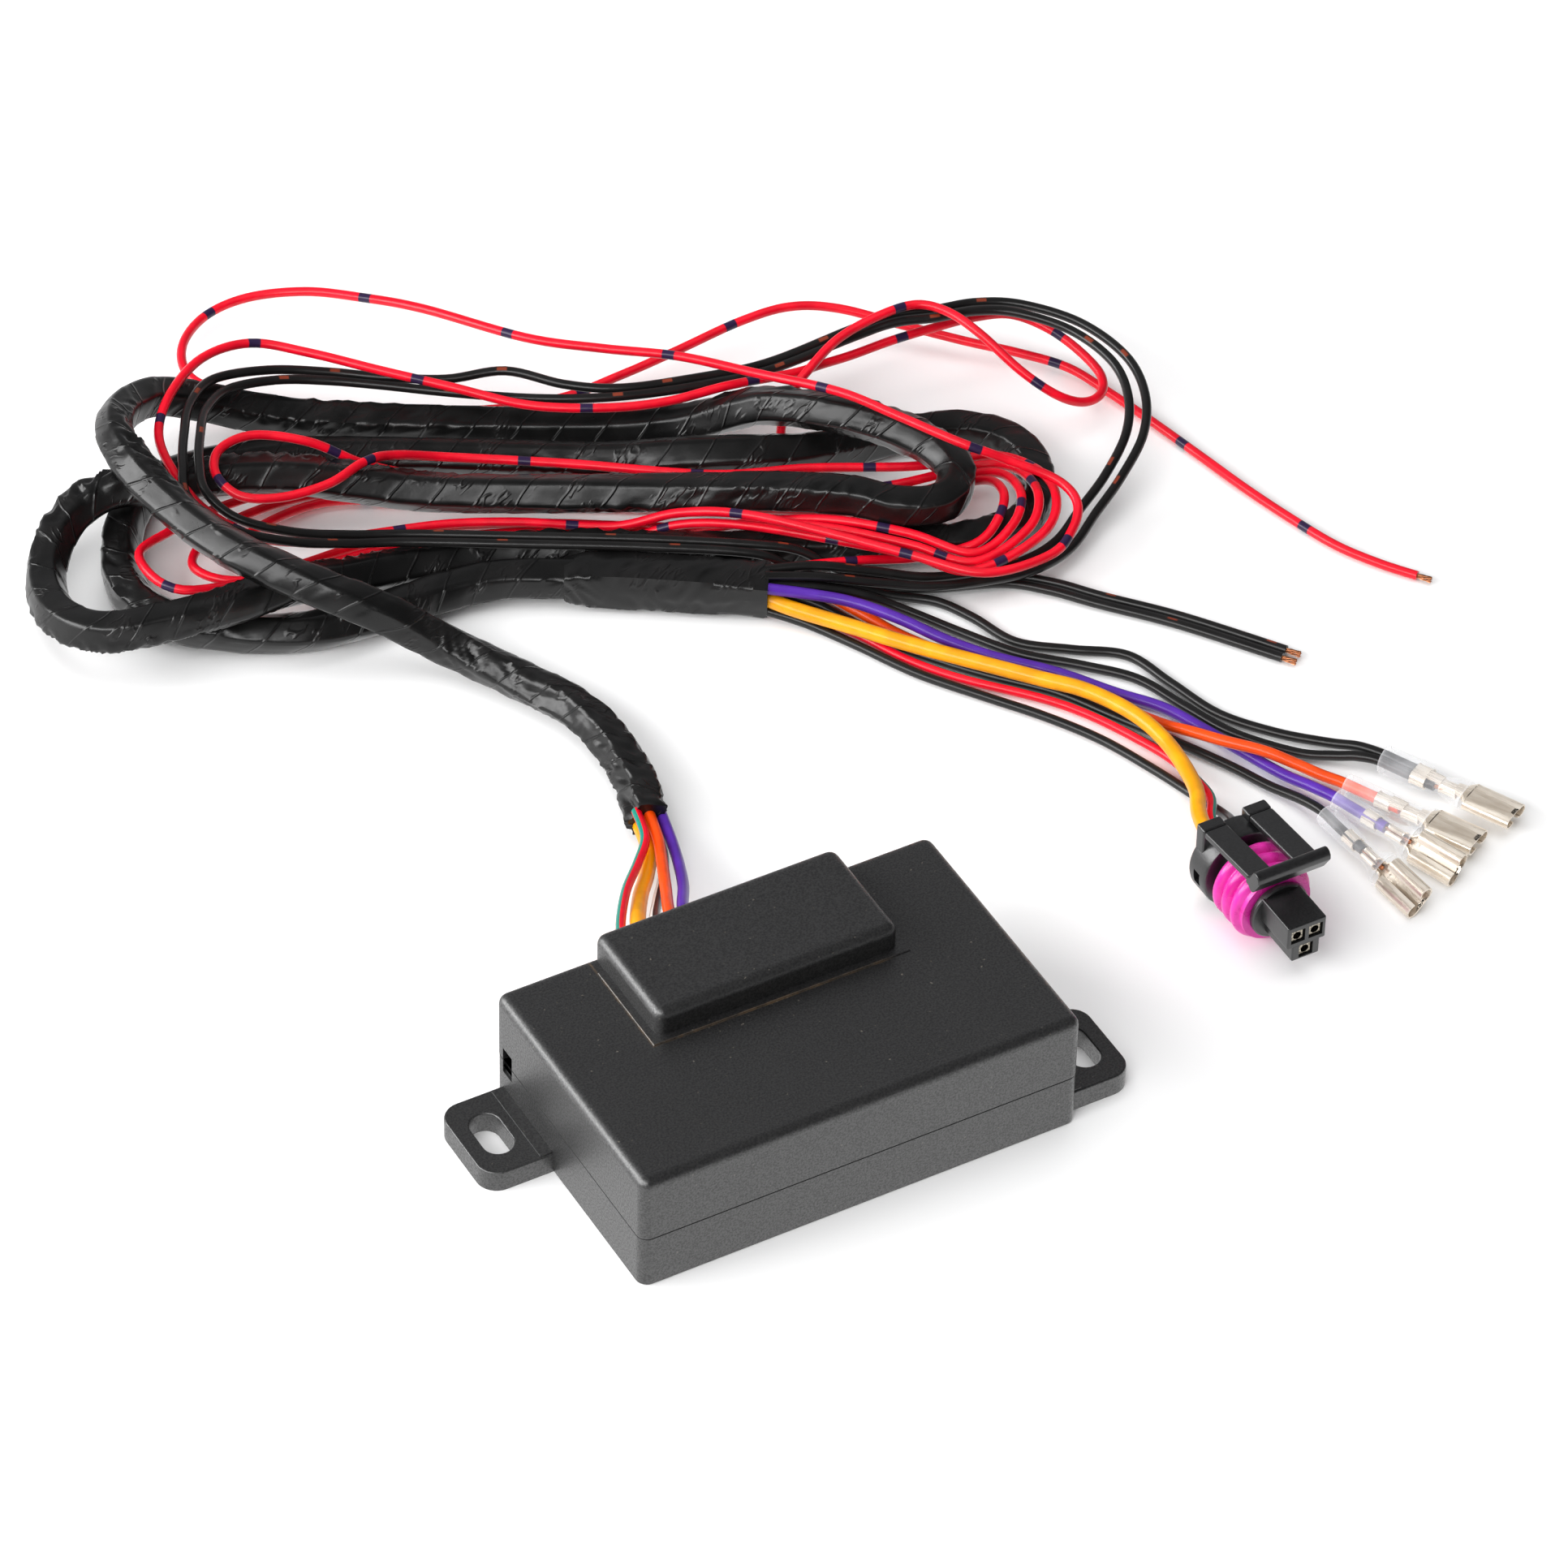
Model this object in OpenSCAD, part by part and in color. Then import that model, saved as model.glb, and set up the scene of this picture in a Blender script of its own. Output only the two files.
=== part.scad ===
// Brake controller unit with its harness: a two-part snap-together case with two slotted
// ears, a circuit board inside, and a taped loom with a red lead, a black pair, a three-way
// sealed plug and four push-on terminals. Lengths in millimetres, Z up, case floor on Z = 0.

/* [Case] */
// Length of the case body along X, without the ears
case_length = 100; // [90:1:110]
// Depth of the case body along Y
case_depth = 62; // [56:1:68]
// Height of the flat top of the cover above the floor
case_height = 28.6; // [26:0.1:32]
// Height of the line where the cover meets the tray
split_height = 12.8; // [11:0.1:15]
// Wall thickness of tray and cover
wall = 2.2; // [1.8:0.1:3]
// Radius of the upright corners
corner_radius = 2.5; // [2:0.1:4]
// Radius of the cover's top edges
top_radius = 2; // [1:0.1:2.5]
// Clearance between the tray's rim and the cover
rim_clearance = 0.15; // [0.1:0.05:0.3]

/* [Hood] */
// Length of the raised hood along X
hood_length = 55.4; // [50:0.1:60]
// Depth of the hood, measured forward from the rear face
hood_depth = 27; // [24:0.5:30]
// Height of the hood above the flat top
hood_height = 6.4; // [5:0.1:8]
// Width of the low step round the hood's foot
hood_step = 1.7; // [1:0.1:2.5]

/* [Ears] */
// Reach of an ear beyond the case end
ear_reach = 15; // [13:0.5:18]
// Width of an ear along Y
ear_width = 22; // [20:0.5:25]
// Thickness of an ear
ear_thickness = 5; // [4:0.1:6]
// Offset of an ear's middle from the case's middle along Y
ear_offset = 17; // [15:0.5:18.5]
// Width of the fixing slot
slot_width = 6.5; // [6.2:0.1:7.5]
// Overall length of the fixing slot along Y
slot_length = 12; // [10:0.5:13]
// Distance of the slot's middle beyond the case end
slot_reach = 8.2; // [7.5:0.1:9]

/* [Board] */
// Underside height of the circuit board
board_height = 8; // [7:0.5:10]
// Thickness of the circuit board
board_thickness = 1.6; // [1.2:0.1:2]
// Clearance between the board's edge and the tray
board_clearance = 0.5; // [0.3:0.1:1]

/* [Wires] */
// Outside diameter of the signal wires
wire_thin = 2.1; // [1.8:0.1:2.3]
// Outside diameter of the black terminal wires
wire_mid = 2.2; // [2:0.1:2.3]
// Outside diameter of the purple and orange wires
wire_wide = 2.5; // [2.2:0.1:2.6]
// Outside diameter of the yellow wire
wire_heavy = 3.4; // [3:0.1:3.5]
// Outside diameter of the taped loom
loom_diameter = 8.5; // [8:0.1:8.6]
// Outside diameter of the thick taped junction
joint_diameter = 11.4; // [11:0.1:11.6]
// Clearance of the wires in the grommet
wire_clearance = 0.2; // [0.1:0.05:0.4]

/* [Plug] */
// Diameter of the plug's round rear body
plug_diameter = 19.2; // [18:0.1:19.4]
// Length of the plug from rear face to nose
plug_length = 31; // [29:0.5:33]
// Outside diameter of the ribbed seal
seal_diameter = 18; // [17:0.1:18.4]
// Width of the latch over both arms
latch_width = 16.4; // [15:0.1:17]
// Thickness of the latch arms
latch_thickness = 1.7; // [1.4:0.1:2.2]
// Side of a contact's square box
contact_size = 2.6; // [2:0.1:2.7]
// Clearance of contacts and wire seals in the plug
plug_clearance = 0.1; // [0.05:0.05:0.2]

/* [Terminals] */
// Width of a push-on receptacle
receptacle_width = 7.8; // [7:0.1:8]
// Length of a push-on receptacle
receptacle_length = 11; // [9:0.5:12]
// Thickness of the terminal strip
strip = 0.5; // [0.4:0.05:0.6]
// Inside radius of a sleeve for one wire
sleeve_bore = 2.1; // [1.9:0.05:2.3]
// Inside radius of the sleeve for two wires
sleeve_bore_double = 2.8; // [2.75:0.05:2.9]
// Height of the receptacle's rolled sides
curl_height = 2.8; // [2.4:0.1:3]
// Wall of the clear sleeves
sleeve_wall = 0.35; // [0.3:0.05:0.45]
// Length of a clear sleeve
sleeve_length = 20; // [19:0.5:22]

/* [Hidden] */
$fn = 40;
eps = 0.01;
half_l = case_length / 2;
half_d = case_depth / 2;
rim = 1.1;
rim_height = 2.5;
rim_break = [60, 14];
hood_top = case_height + hood_height;
step_height = 0.3;
board_top = board_height + board_thickness;
// Board, and the pieces on it placed from its edges
board_length = case_length - 2 * wall - 2 * board_clearance;
board_depth = case_depth - 2 * wall - 2 * board_clearance;
board_front = -board_depth / 2;
board_rear = board_depth / 2;
board_right = board_length / 2;
board_left = -board_length / 2;
spreader = [28, 19, 3];
spreader_inset = [5.3, 5.3];
spreader_right = board_right - spreader_inset[0];
spreader_rear = board_rear - spreader_inset[1];
transistor = [10, 9.5, 4.4];
transistor_tab = [10, 6.5, 1.3];
transistor_inset = 2;
transistor_pitch = 13;
can_diameter = 12.5;
can_height = 12;
can_inset = [13.3, 14.3];
can_pitch = 14;
chip = [12, 12, 1.4];
chip_inset = [45.3, 8.3];
sensor = [5, 5, 1.2];
sensor_inset = [24.3, 10.3];
shunt = [12, 5, 3];
shunt_inset = [5.3, 8.3];
// Board posts, set in from the case's ends and sides
post_inset = 8;
post_x = half_l - post_inset;
post_y = half_d - post_inset;
post_diameter = 5;
pilot_diameter = 2;
ear_radius = 4.5;
// Snap window in the left wall, and the relief at that wall's rear bottom corner
snap_width = 3.8;
snap_y = half_d - 7.2;
snap_low = 9.5;
snap_high = 16;
relief = [1.6, 2.6, 5];
snap_tab = [0.6, 1.6];
// Rear wire opening, its flange and the row of wires through it
gate_left = -19;
gate_right = -0.6;
gate_height = 8;
gate_high = case_height - 4.6;
gate_low = gate_high - gate_height;
gate_z = gate_high - gate_height / 2;
flange = 1.4;
block_rear = half_d - 10;
block_depth = 10;
block_height = 12.5;
screw_hole = [2.4, 2];
gate_x = [-16.4, -12.6, -8.8, -5.4, -2.4];
gate_d = [wire_thin, wire_heavy, wire_mid, wire_wide, wire_wide];
// The loom lies on a floor frame turned by this angle from the case
lay = 30;
// Plug placement: rear face middle, nose towards -Y
plug_at = [112.6, 14.5, 9.8];
plug_r = plug_diameter / 2;
flange_length = 6.5;
core_r = 6.4;
collar_r = 7.4;
collar_at = 19;
nose_at = 20;
seal_at = 8.6;
seal_groove_r = 8;
rib_pitch = 3.2;
rib_form = [0.8, 1.8, 2.6];
seal_tail = 0.6;
collar_length = 1.5;
arm_inner = 2.6;
arm_low = seal_diameter / 2 + 0.5;
root_length = 3;
root_low = 4;
arm_length = 17.5;
latch_rise = 6;
bar_overhang = 0.5;
// Hooked bar at the front of the latch, as forward and up from the arms' top edge
bar_profile = [[-0.4, 0], [0.9, 0.4], [1.9, 1.9], [2.5, 2.9], [3.3, 3.1], [4.2, 2.7], [4.7, 1.8], [4.7, 0.8],
  [2.1, -2.7], [1.2, -2.6], [0.4, -latch_thickness], [-0.4, -latch_thickness]];
nose_upper = [9.2, 5.8, -0.6];
nose_lower = [6.6, 4.4, -4.4];
cavity = contact_size + 2 * plug_clearance;
cavity_length = 6.5;
contact_recess = 0.5;
contact_wall = 0.35;
cavity_at = [[-2.1, 2.3], [2.1, 2.3], [0, -2.2]];
wire_hole_at = [[-2.4, 1.6], [2.4, 1.6], [0, -2.6]];
wire_hole = 2.2;
wire_hole_length = 5;
lip = [0.6, 0.15];
plug_seal_end = 0.5;
// Terminal form along the wire: insulation crimp, wire crimp, neck and receptacle
crimp_at = 7.5;
crimp_length = 3.5;
barrel_at = 14;
barrel_r = 1.4;
barrel_length = 4;
neck_width = 2;
receptacle_at = sleeve_length + 1;
curl_end = 188;
curl_gap = 0.8;
curl_side = (receptacle_width - curl_gap) / 4;
curl_mid = receptacle_width / 2 - curl_side;
pair_gap = 0.1;
pair_side = (wire_mid + pair_gap) / 2;
strip_low = -wire_wide / 2 - strip;
tab_notch = [1, 1.6];
terminal_at = [[124.5, 105.3, 3.3], [116.4, 97.8, 2.6], [114.2, 92.2, 3.55], [111.6, 87.2, 3.55]];
terminal_turn = [-33, -33, -41, -55];
terminal_roll = [180, 180, 45, 45];
flare_at = sleeve_length - 4;
flare = [3.6, 1.8];

// A point on the turned floor frame, given as across, away, height
function lay_at(p) = [p[0] * cos(lay) + p[1] * sin(lay), -p[0] * sin(lay) + p[1] * cos(lay), p[2]];
function on_floor(P) = [for (p = P) lay_at(p)];
// Points on a wire inside terminal i, run to the wire crimp and set off to one side
function in_terminal(i, side) = let (t = terminal_turn[i], p = terminal_at[i])
  [for (s = [-1.5, 3, crimp_at, crimp_at + crimp_length, barrel_at])
    p + [s * cos(t) - side * sin(t), s * sin(t) + side * cos(t), 0]];
function curve_at(a, b, c, d, t) =
  0.5 * (2 * b + (c - a) * t + (2 * a - 5 * b + 4 * c - d) * t * t + (3 * b - a - 3 * c + d) * t * t * t);
function smooth(P, n) = concat(
  [for (i = [0 : len(P) - 2], k = [0 : n - 1])
    curve_at(P[max(i - 1, 0)], P[i], P[i + 1], P[min(i + 2, len(P) - 1)], k / n)],
  [P[len(P) - 1]]);
function heading(S, i) = let (v = S[min(i + 1, len(S) - 1)] - S[max(i - 1, 0)]) v / norm(v);
function ring(S, i, r, n) = let (
    t = heading(S, i),
    q = cross(t, [0, 0, 1]),
    s = q / norm(q),
    u = cross(s, t))
  [for (k = [0 : n - 1]) S[i] + r * (cos(360 * k / n) * s + sin(360 * k / n) * u)];
function part_gap(p, a, b) = let (d = b - a, t = max(0, min(1, (p - a) * d / (d * d)))) norm(p - a - t * d);
function run_gap(S, skip, r) = min([for (i = [0 : len(S) - 1], j = [i + skip : 1 : len(S) - 2])
  part_gap(S[i], S[j], S[j + 1])]) - 2 * r;

module tube(S, r, n) {
  m = len(S);
  points = [for (i = [0 : m - 1]) each ring(S, i, r, n)];
  sides = [for (i = [0 : m - 2], k = [0 : n - 1]) let (a = i * n + k, b = i * n + (k + 1) % n)
    each [[a, a + n, b], [b, a + n, b + n]]];
  first = [[for (k = [0 : n - 1]) k]];
  last = [[for (k = [n - 1 : -1 : 0]) (m - 1) * n + k]];
  polyhedron(points = points, faces = concat(first, sides, last), convexity = 10);
}

// Case pieces
module upright_box(l, d, h, r) {
  translate([-l / 2 + r, -d / 2, 0]) cube([l - 2 * r, d, h]);
  translate([-l / 2, -d / 2 + r, 0]) cube([l, d - 2 * r, h]);
  for (x = [-1, 1], y = [-1, 1]) translate([x * (l / 2 - r), y * (d / 2 - r), 0]) cylinder(r = r, h = h);
}

module ear_plate() {
  r = ear_radius;
  translate([half_l - 1, ear_offset - ear_width / 2, 0]) cube([ear_reach + 1 - r, ear_width, ear_thickness]);
  translate([half_l - 1, ear_offset - ear_width / 2 + r, 0])
    cube([ear_reach + 1, ear_width - 2 * r, ear_thickness]);
  for (s = [-1, 1])
    translate([half_l + ear_reach - r, ear_offset + s * (ear_width / 2 - r), 0])
      cylinder(r = r, h = ear_thickness);
}

module ear_slot() {
  gap = slot_length - slot_width;
  translate([half_l + slot_reach, ear_offset, -1]) {
    for (s = [-1, 1]) translate([0, s * gap / 2, 0]) cylinder(d = slot_width, h = ear_thickness + 2);
    translate([-slot_width / 2, -gap / 2, 0]) cube([slot_width, gap, ear_thickness + 2]);
  }
}

module snap_window(low, high, depth = wall + 1) {
  translate([-half_l - 1, snap_y, low]) cube([depth + 1, snap_width, high - low]);
}

module base_tray() color([0.09, 0.09, 0.10]) difference() {
  union() {
    upright_box(case_length, case_depth, split_height, corner_radius);
    translate([0, 0, split_height - eps]) difference() {
      translate([-half_l + wall - rim, -half_d + wall - rim, 0])
        cube([case_length - 2 * wall + 2 * rim, case_depth - 2 * wall + 2 * rim, rim_height + eps]);
      translate([0, half_d, rim_height / 2])
        cube([rim_break[0], rim_break[1], rim_height * 2], center = true);
    }
    rotate([0, 0, 180]) mirror([0, 1, 0]) ear_plate();
    mirror([0, 1, 0]) ear_plate();
  }
  difference() {
    translate([-half_l + wall, -half_d + wall, wall])
      cube([case_length - 2 * wall, case_depth - 2 * wall, case_height]);
    for (x = [-1, 1], y = [-1, 1]) translate([x * post_x, y * post_y, 0])
      cylinder(d = post_diameter, h = board_height);
  }
  rotate([0, 0, 180]) mirror([0, 1, 0]) ear_slot();
  mirror([0, 1, 0]) ear_slot();
  snap_window(snap_low + snap_tab[1], split_height + rim_height + 1);
  snap_window(snap_low, split_height, snap_tab[0]);
  translate([-half_l - 1, half_d - relief[1], -1]) cube([relief[0] + 1, relief[1] + 1, relief[2] + 1]);
}

module round_block(l, d, low, high, r) hull() {
  for (x = [-1, 1], y = [-1, 1]) {
    translate([x * (l / 2 - r), y * (d / 2 - r), high - r]) sphere(r = r, $fn = 24);
    translate([x * (l / 2 - r), y * (d / 2 - r), low]) cylinder(r = r, h = 1, $fn = 24);
  }
}

module top_cover() color([0.09, 0.09, 0.10]) {
  inner = rim - rim_clearance;
  difference() {
    union() {
      round_block(case_length, case_depth, split_height, case_height, corner_radius);
      translate([0, half_d - hood_depth / 2, 0])
        round_block(hood_length, hood_depth, case_height - 3, hood_top, top_radius);
      translate([-hood_length / 2 - hood_step, half_d - hood_depth - hood_step, case_height - 1])
        cube([hood_length + 2 * hood_step, hood_depth + hood_step - 2 * corner_radius, 1 + step_height]);
    }
    translate([-half_l + wall, -half_d + wall, split_height - 1])
      cube([case_length - 2 * wall, case_depth - 2 * wall, case_height - wall - split_height + 1]);
    translate([-half_l + wall - rim - rim_clearance, -half_d + wall - rim - rim_clearance, split_height - 1])
      cube([case_length - 2 * wall + 2 * rim + 2 * rim_clearance,
        case_depth - 2 * wall + 2 * rim + 2 * rim_clearance, rim_height + rim_clearance + 1]);
    translate([-hood_length / 2 + wall, half_d - hood_depth + wall, case_height - wall - 1])
      cube([hood_length - 2 * wall, hood_depth - 2 * wall, hood_height + 1]);
    snap_window(split_height - 1, snap_high);
    translate([gate_left, half_d - wall - 1, gate_low]) cube([gate_right - gate_left, wall + 2, gate_height]);
  }
}

// Board and the pieces on it
module circuit_board() color([0.06, 0.22, 0.12]) difference() {
  translate([board_left, board_front, board_height]) cube([board_length, board_depth, board_thickness]);
  for (x = [-1, 1], y = [-1, 1]) translate([x * post_x, y * post_y, board_height - 1])
    cylinder(d = pilot_diameter, h = board_thickness + 2);
}

module heat_spreader() color([0.75, 0.75, 0.77])
  translate([spreader_right - spreader[0], spreader_rear - spreader[1], board_top]) cube(spreader);

module power_transistors() color([0.08, 0.08, 0.08]) for (i = [0, 1])
  translate([spreader_right - transistor_inset - transistor[0] - i * transistor_pitch,
      spreader_rear - transistor_inset - transistor_tab[1] - transistor[1], board_top + spreader[2]]) {
    cube(transistor);
    translate([0, transistor[1], 0]) cube(transistor_tab);
  }

module storage_capacitors() color([0.15, 0.17, 0.25]) for (i = [0, 1])
  translate([board_left + can_inset[0] + i * can_pitch, board_front + can_inset[1], board_top])
    cylinder(d = can_diameter, h = can_height);

module control_chip() color([0.07, 0.07, 0.07])
  translate([board_left + chip_inset[0], board_front + chip_inset[1], board_top]) cube(chip);

module motion_sensor() color([0.07, 0.07, 0.07])
  translate([board_right - sensor_inset[0] - sensor[0], board_front + sensor_inset[1], board_top])
    cube(sensor);

module current_shunt() color([0.55, 0.50, 0.42])
  translate([board_right - shunt_inset[0] - shunt[0], board_front + shunt_inset[1], board_top]) cube(shunt);

module terminal_block() color([0.10, 0.30, 0.16]) difference() {
  translate([gate_left, block_rear - block_depth, board_top])
    cube([gate_right - gate_left, block_depth, block_height]);
  for (x = gate_x) translate([x, block_rear - block_depth / 2, board_top + block_height - screw_hole[1]])
    cylinder(d = screw_hole[0], h = screw_hole[1] + 1);
}

module wire_grommet() color([0.05, 0.05, 0.05]) difference() {
  union() {
    translate([gate_left + rim_clearance, half_d - wall - flange, gate_low + rim_clearance])
      cube([gate_right - gate_left - 2 * rim_clearance, wall + flange, gate_height - 2 * rim_clearance]);
    translate([gate_left - flange, half_d - wall - flange, gate_low - flange])
      cube([gate_right - gate_left + 2 * flange, flange, gate_height + 2 * flange]);
  }
  for (i = [0 : len(gate_x) - 1]) translate([gate_x[i], half_d + 1, gate_z]) rotate([90, 0, 0])
    cylinder(d = gate_d[i] + 2 * wire_clearance, h = wall + flange + 2);
}

// Wires from the board to the taped loom
route_pigtail_red = [[-16.4, 20.6, 20], [-16.4, 27, 20], [-16.4, 37, 20], [-13.8, 45, 18.2], [-5.6, 58, 14],
  [2.6, 68, 10.2], [8.4, 75.4, 8.8], [11, 84.1, 8.2]];
route_pigtail_yellow = [[-12.6, 20.6, 20], [-12.6, 27, 20], [-12.6, 37, 20], [-9.8, 45, 17.5], [-2.2, 58, 11],
  [4.2, 67, 7], [9.2, 75.3, 5.2], [11.7, 84, 4.6]];
route_pigtail_black = [[-8.8, 20.6, 20], [-8.8, 27, 20], [-8.8, 37, 20], [-6, 45, 16.8], [2, 58, 9],
  [8, 66.8, 5.2], [12.2, 74.5, 3.9], [14.6, 83.2, 3.4]];
route_pigtail_orange = [[-5.4, 20.6, 20], [-5.4, 27, 20], [-5.4, 37, 20], [-2.6, 45, 18], [3.2, 57, 12.6],
  [7.8, 67, 9.4], [11.1, 74.7, 7.8], [13.6, 83.4, 7.2]];
route_pigtail_purple = [[-2.4, 20.6, 20], [-2.4, 27, 20], [-2.4, 37, 20], [0.6, 45, 17.4], [6.8, 56, 12],
  [11.2, 66, 8.2], [14, 74, 6.4], [16.3, 82.7, 5.9]];

// Taped loom: from the pigtails over the hank, two and a half turns, to the junction
route_loom = [[-30, 78, 6], [-34, 94, 5], [-44, 111, 5], [-60, 123, 5], [-75, 130, 8], [-88, 131, 15],
  [-100, 132, 20], [-113, 136, 23.4], [-124, 143, 24.4], [-134, 153, 25], [-142, 163, 26], [-147, 175, 25],
  [-147, 187, 22], [-141, 198, 17], [-131, 204, 11], [-119, 206, 6.5], [-106, 206, 5], [-84, 206, 4.5],
  [-62, 206, 4.5], [-40, 206, 4.8], [-24, 206, 6.8], [-9, 204.5, 13], [6, 199.5, 16], [18, 196, 15.5],
  [29, 190, 14.5], [34, 182, 14], [31, 174, 13.5], [22, 172, 13.5], [10, 175, 13.5], [-8, 177, 12],
  [-30, 178, 10], [-55, 178, 9], [-80, 178, 9], [-96, 178, 11], [-110, 177, 13.5], [-124, 175, 14.5],
  [-137, 172, 14], [-149, 170, 13.5], [-158, 163, 10], [-161, 149, 8], [-157, 134, 10], [-147, 125, 13],
  [-133, 127, 14.5], [-118, 134, 14.4], [-108, 143, 11.6], [-99, 150, 7.4], [-86, 157, 5], [-68, 163, 4.5],
  [-48, 165, 4.5], [-26, 165, 4.5], [0, 167, 4.5], [24, 170, 4.5], [39, 172, 4.5], [49, 179, 4.5],
  [52, 190, 4.5], [48, 202, 4.5], [38, 208, 4.5], [24, 207, 4.5], [11, 202.5, 4.5], [0, 198, 6],
  [-12, 195.5, 7.2], [-26, 195, 6.5], [-44, 195, 4.5], [-68, 195, 4.5], [-92, 195, 4.5], [-110, 194, 4.5],
  [-124, 191, 4.5], [-136, 186, 4.5], [-144, 176, 4.5], [-146, 161, 4.5], [-143, 148, 4.5], [-135, 140, 4.5],
  [-122, 136, 4.5], [-106, 136, 4.5], [-92, 141, 4.5], [-78, 149, 4.5], [-64, 153.5, 5.5], [-50, 154, 6],
  [-48, 154, 6]];
route_joint = [[-50, 154, 6], [-36, 154, 6], [-20, 153, 6], [-6, 152, 6]];

// Red lead: three close turns, a small loop, a stray loop and the long free end
function right_turn(e) = [[38, 166 - 2.9 * e, 8], [43 + 3.5 * e, 171 - e, 11],
  [44 + 3.5 * e, 180 + e, 11.5], [38 + 1.8 * e, 187 + 2.9 * e, 8]];
back_run = [
  [[18, 183.6, 2], [-10, 183.6, 1.5], [-38, 183.6, 1.5], [-66, 183.6, 1.5], [-90, 183.6, 1.5]],
  [[18, 186.3, 2], [-10, 186.3, 1.5], [-38, 186.3, 1.5], [-66, 186.3, 1.5], [-90, 186.3, 1.5]],
  [[18, 187.4, 5.4], [-10, 185.2, 4.4], [-38, 185, 4.2], [-66, 185, 4.2], [-90, 185, 4.2]]];
left_turn = [
  [[-104, 182, 1.5], [-115, 174, 2.5], [-121, 165, 3.5], [-120, 157, 4], [-110, 158, 3.5], [-98, 166, 2],
    [-82, 174, 1.5]],
  [[-106, 184.5, 1.5], [-120, 175, 3.5], [-128, 164, 5.5], [-129.5, 154, 6.5], [-120, 150, 6.5],
    [-104, 158, 4],
    [-86, 168.5, 1.6]],
  [[-108, 185, 4], [-125, 176, 5], [-135, 163, 9], [-141, 152, 11], [-131, 141.5, 11], [-108, 152.5, 7],
    [-90, 162.5, 2.5]]];
front_run = [
  [[-60, 176.9, 1.5], [-38, 176.9, 1.5], [-20, 175.6, 2.5], [-6, 172.8, 7.5], [8, 169.6, 10.8],
    [24, 166.5, 10.2]],
  [[-60, 174.1, 1.5], [-38, 174.1, 1.5], [-22, 173, 4], [-8, 169.8, 9.6], [8, 166.9, 10.6], [24, 163.8, 9.4]],
  [[-60, 171.3, 1.5], [-40, 171.2, 1.8], [-26, 171, 7.2], [-12, 167.5, 10.6], [6, 164.2, 10.2],
    [24, 161.2, 8.8]]];
route_red = concat([[-7, 155.9, 7.7], [4, 157.8, 8.3], [14, 161, 7], [26, 164.3, 5.3]],
  right_turn(0), back_run[0], left_turn[0], front_run[0],
  right_turn(1), back_run[1], left_turn[1], front_run[1],
  right_turn(2), back_run[2], left_turn[2], front_run[2], right_turn(3),
  [[25, 191.5, 8], [2, 190, 8], [-19, 186.5, 8.5], [-50, 189, 8.5], [-75, 189, 9.5], [-88, 184, 14],
    [-94, 178, 17], [-101, 170, 17.5], [-111, 165, 17.5], [-120, 164, 18.5], [-125.5, 169, 20.5],
    [-125, 177, 20.5], [-118, 182.5, 20], [-106, 183.5, 17.5], [-95, 184, 11.5], [-84, 187.5, 5.5],
    [-72, 189, 1.8], [-50, 189, 1.5], [-28, 189.3, 1.3], [-17, 192, 1.2], [-10, 197, 1.3], [-5, 204, 2],
    [-4, 209, 5], [-2, 212, 11], [1.5, 215.1, 15], [8, 223.1, 17.5], [17, 228.9, 19.6], [25, 232.6, 19.8],
    [32, 230.2, 19.8], [39, 224.3, 18.7], [48, 217.7, 14], [56, 214.5, 10], [62, 215.8, 7], [66, 220, 6],
    [66, 226, 6.5], [61, 232, 8.5], [54, 237, 10.5], [46, 239.5, 12], [38, 237, 13], [30, 233.5, 13],
    [20, 229.6, 12], [11, 224.7, 11.5], [4.5, 220.7, 12], [-2, 216.1, 13], [-16, 209.6, 14.5],
    [-30, 204, 14], [-44, 201.5, 14], [-60, 202, 14], [-76, 205.5, 15.5],
    [-92, 209.5, 16.5], [-108, 215, 16.5], [-121, 216, 18], [-131, 208, 20], [-137, 194, 21],
    [-138.5, 181, 20.5], [-134, 168, 20.5], [-127, 160, 17.5], [-116, 157, 13], [-104, 161, 8.5],
    [-92, 167, 6], [-76, 172, 5], [-60, 173.2, 5], [-40, 172.8, 4.8], [-26, 171.8, 9.9], [-12, 167.5, 13.7],
    [6, 163, 12.9], [24, 158.6, 11], [40, 154.6, 9.8], [54, 160, 10.5], [59, 167, 12], [60, 174, 13.6],
    [56, 179.5, 15], [46, 182, 18], [34, 183.5, 22], [21, 190.5, 23], [8, 198, 23.2], [-10, 208, 19.5],
    [-27, 215, 18], [-44, 219.5, 16], [-61, 225, 14], [-84, 239, 10], [-98, 245.5, 7.5], [-111, 249, 6],
    [-124, 247.5, 5], [-133, 240.5, 5], [-137, 229, 6], [-135, 219, 6], [-127, 214, 5.5], [-115, 213, 4],
    [-92, 212.6, 3], [-70, 213, 3], [-53, 216.5, 4], [-40, 223, 5.5], [-28, 230, 7], [-14, 239, 8.5],
    [-3, 244, 9], [8, 245, 8], [22, 242.5, 5.8], [36, 239, 4.5], [48, 236.5, 3.5], [59, 233, 2.5],
    [68, 226, 1.5], [77, 217, 1.3], [88, 205, 1.3], [98, 194, 1.3], [108, 184, 1.3], [117, 176, 1.3],
    [126, 170.5, 1.3], [134, 166.8, 1.3]]);

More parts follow.
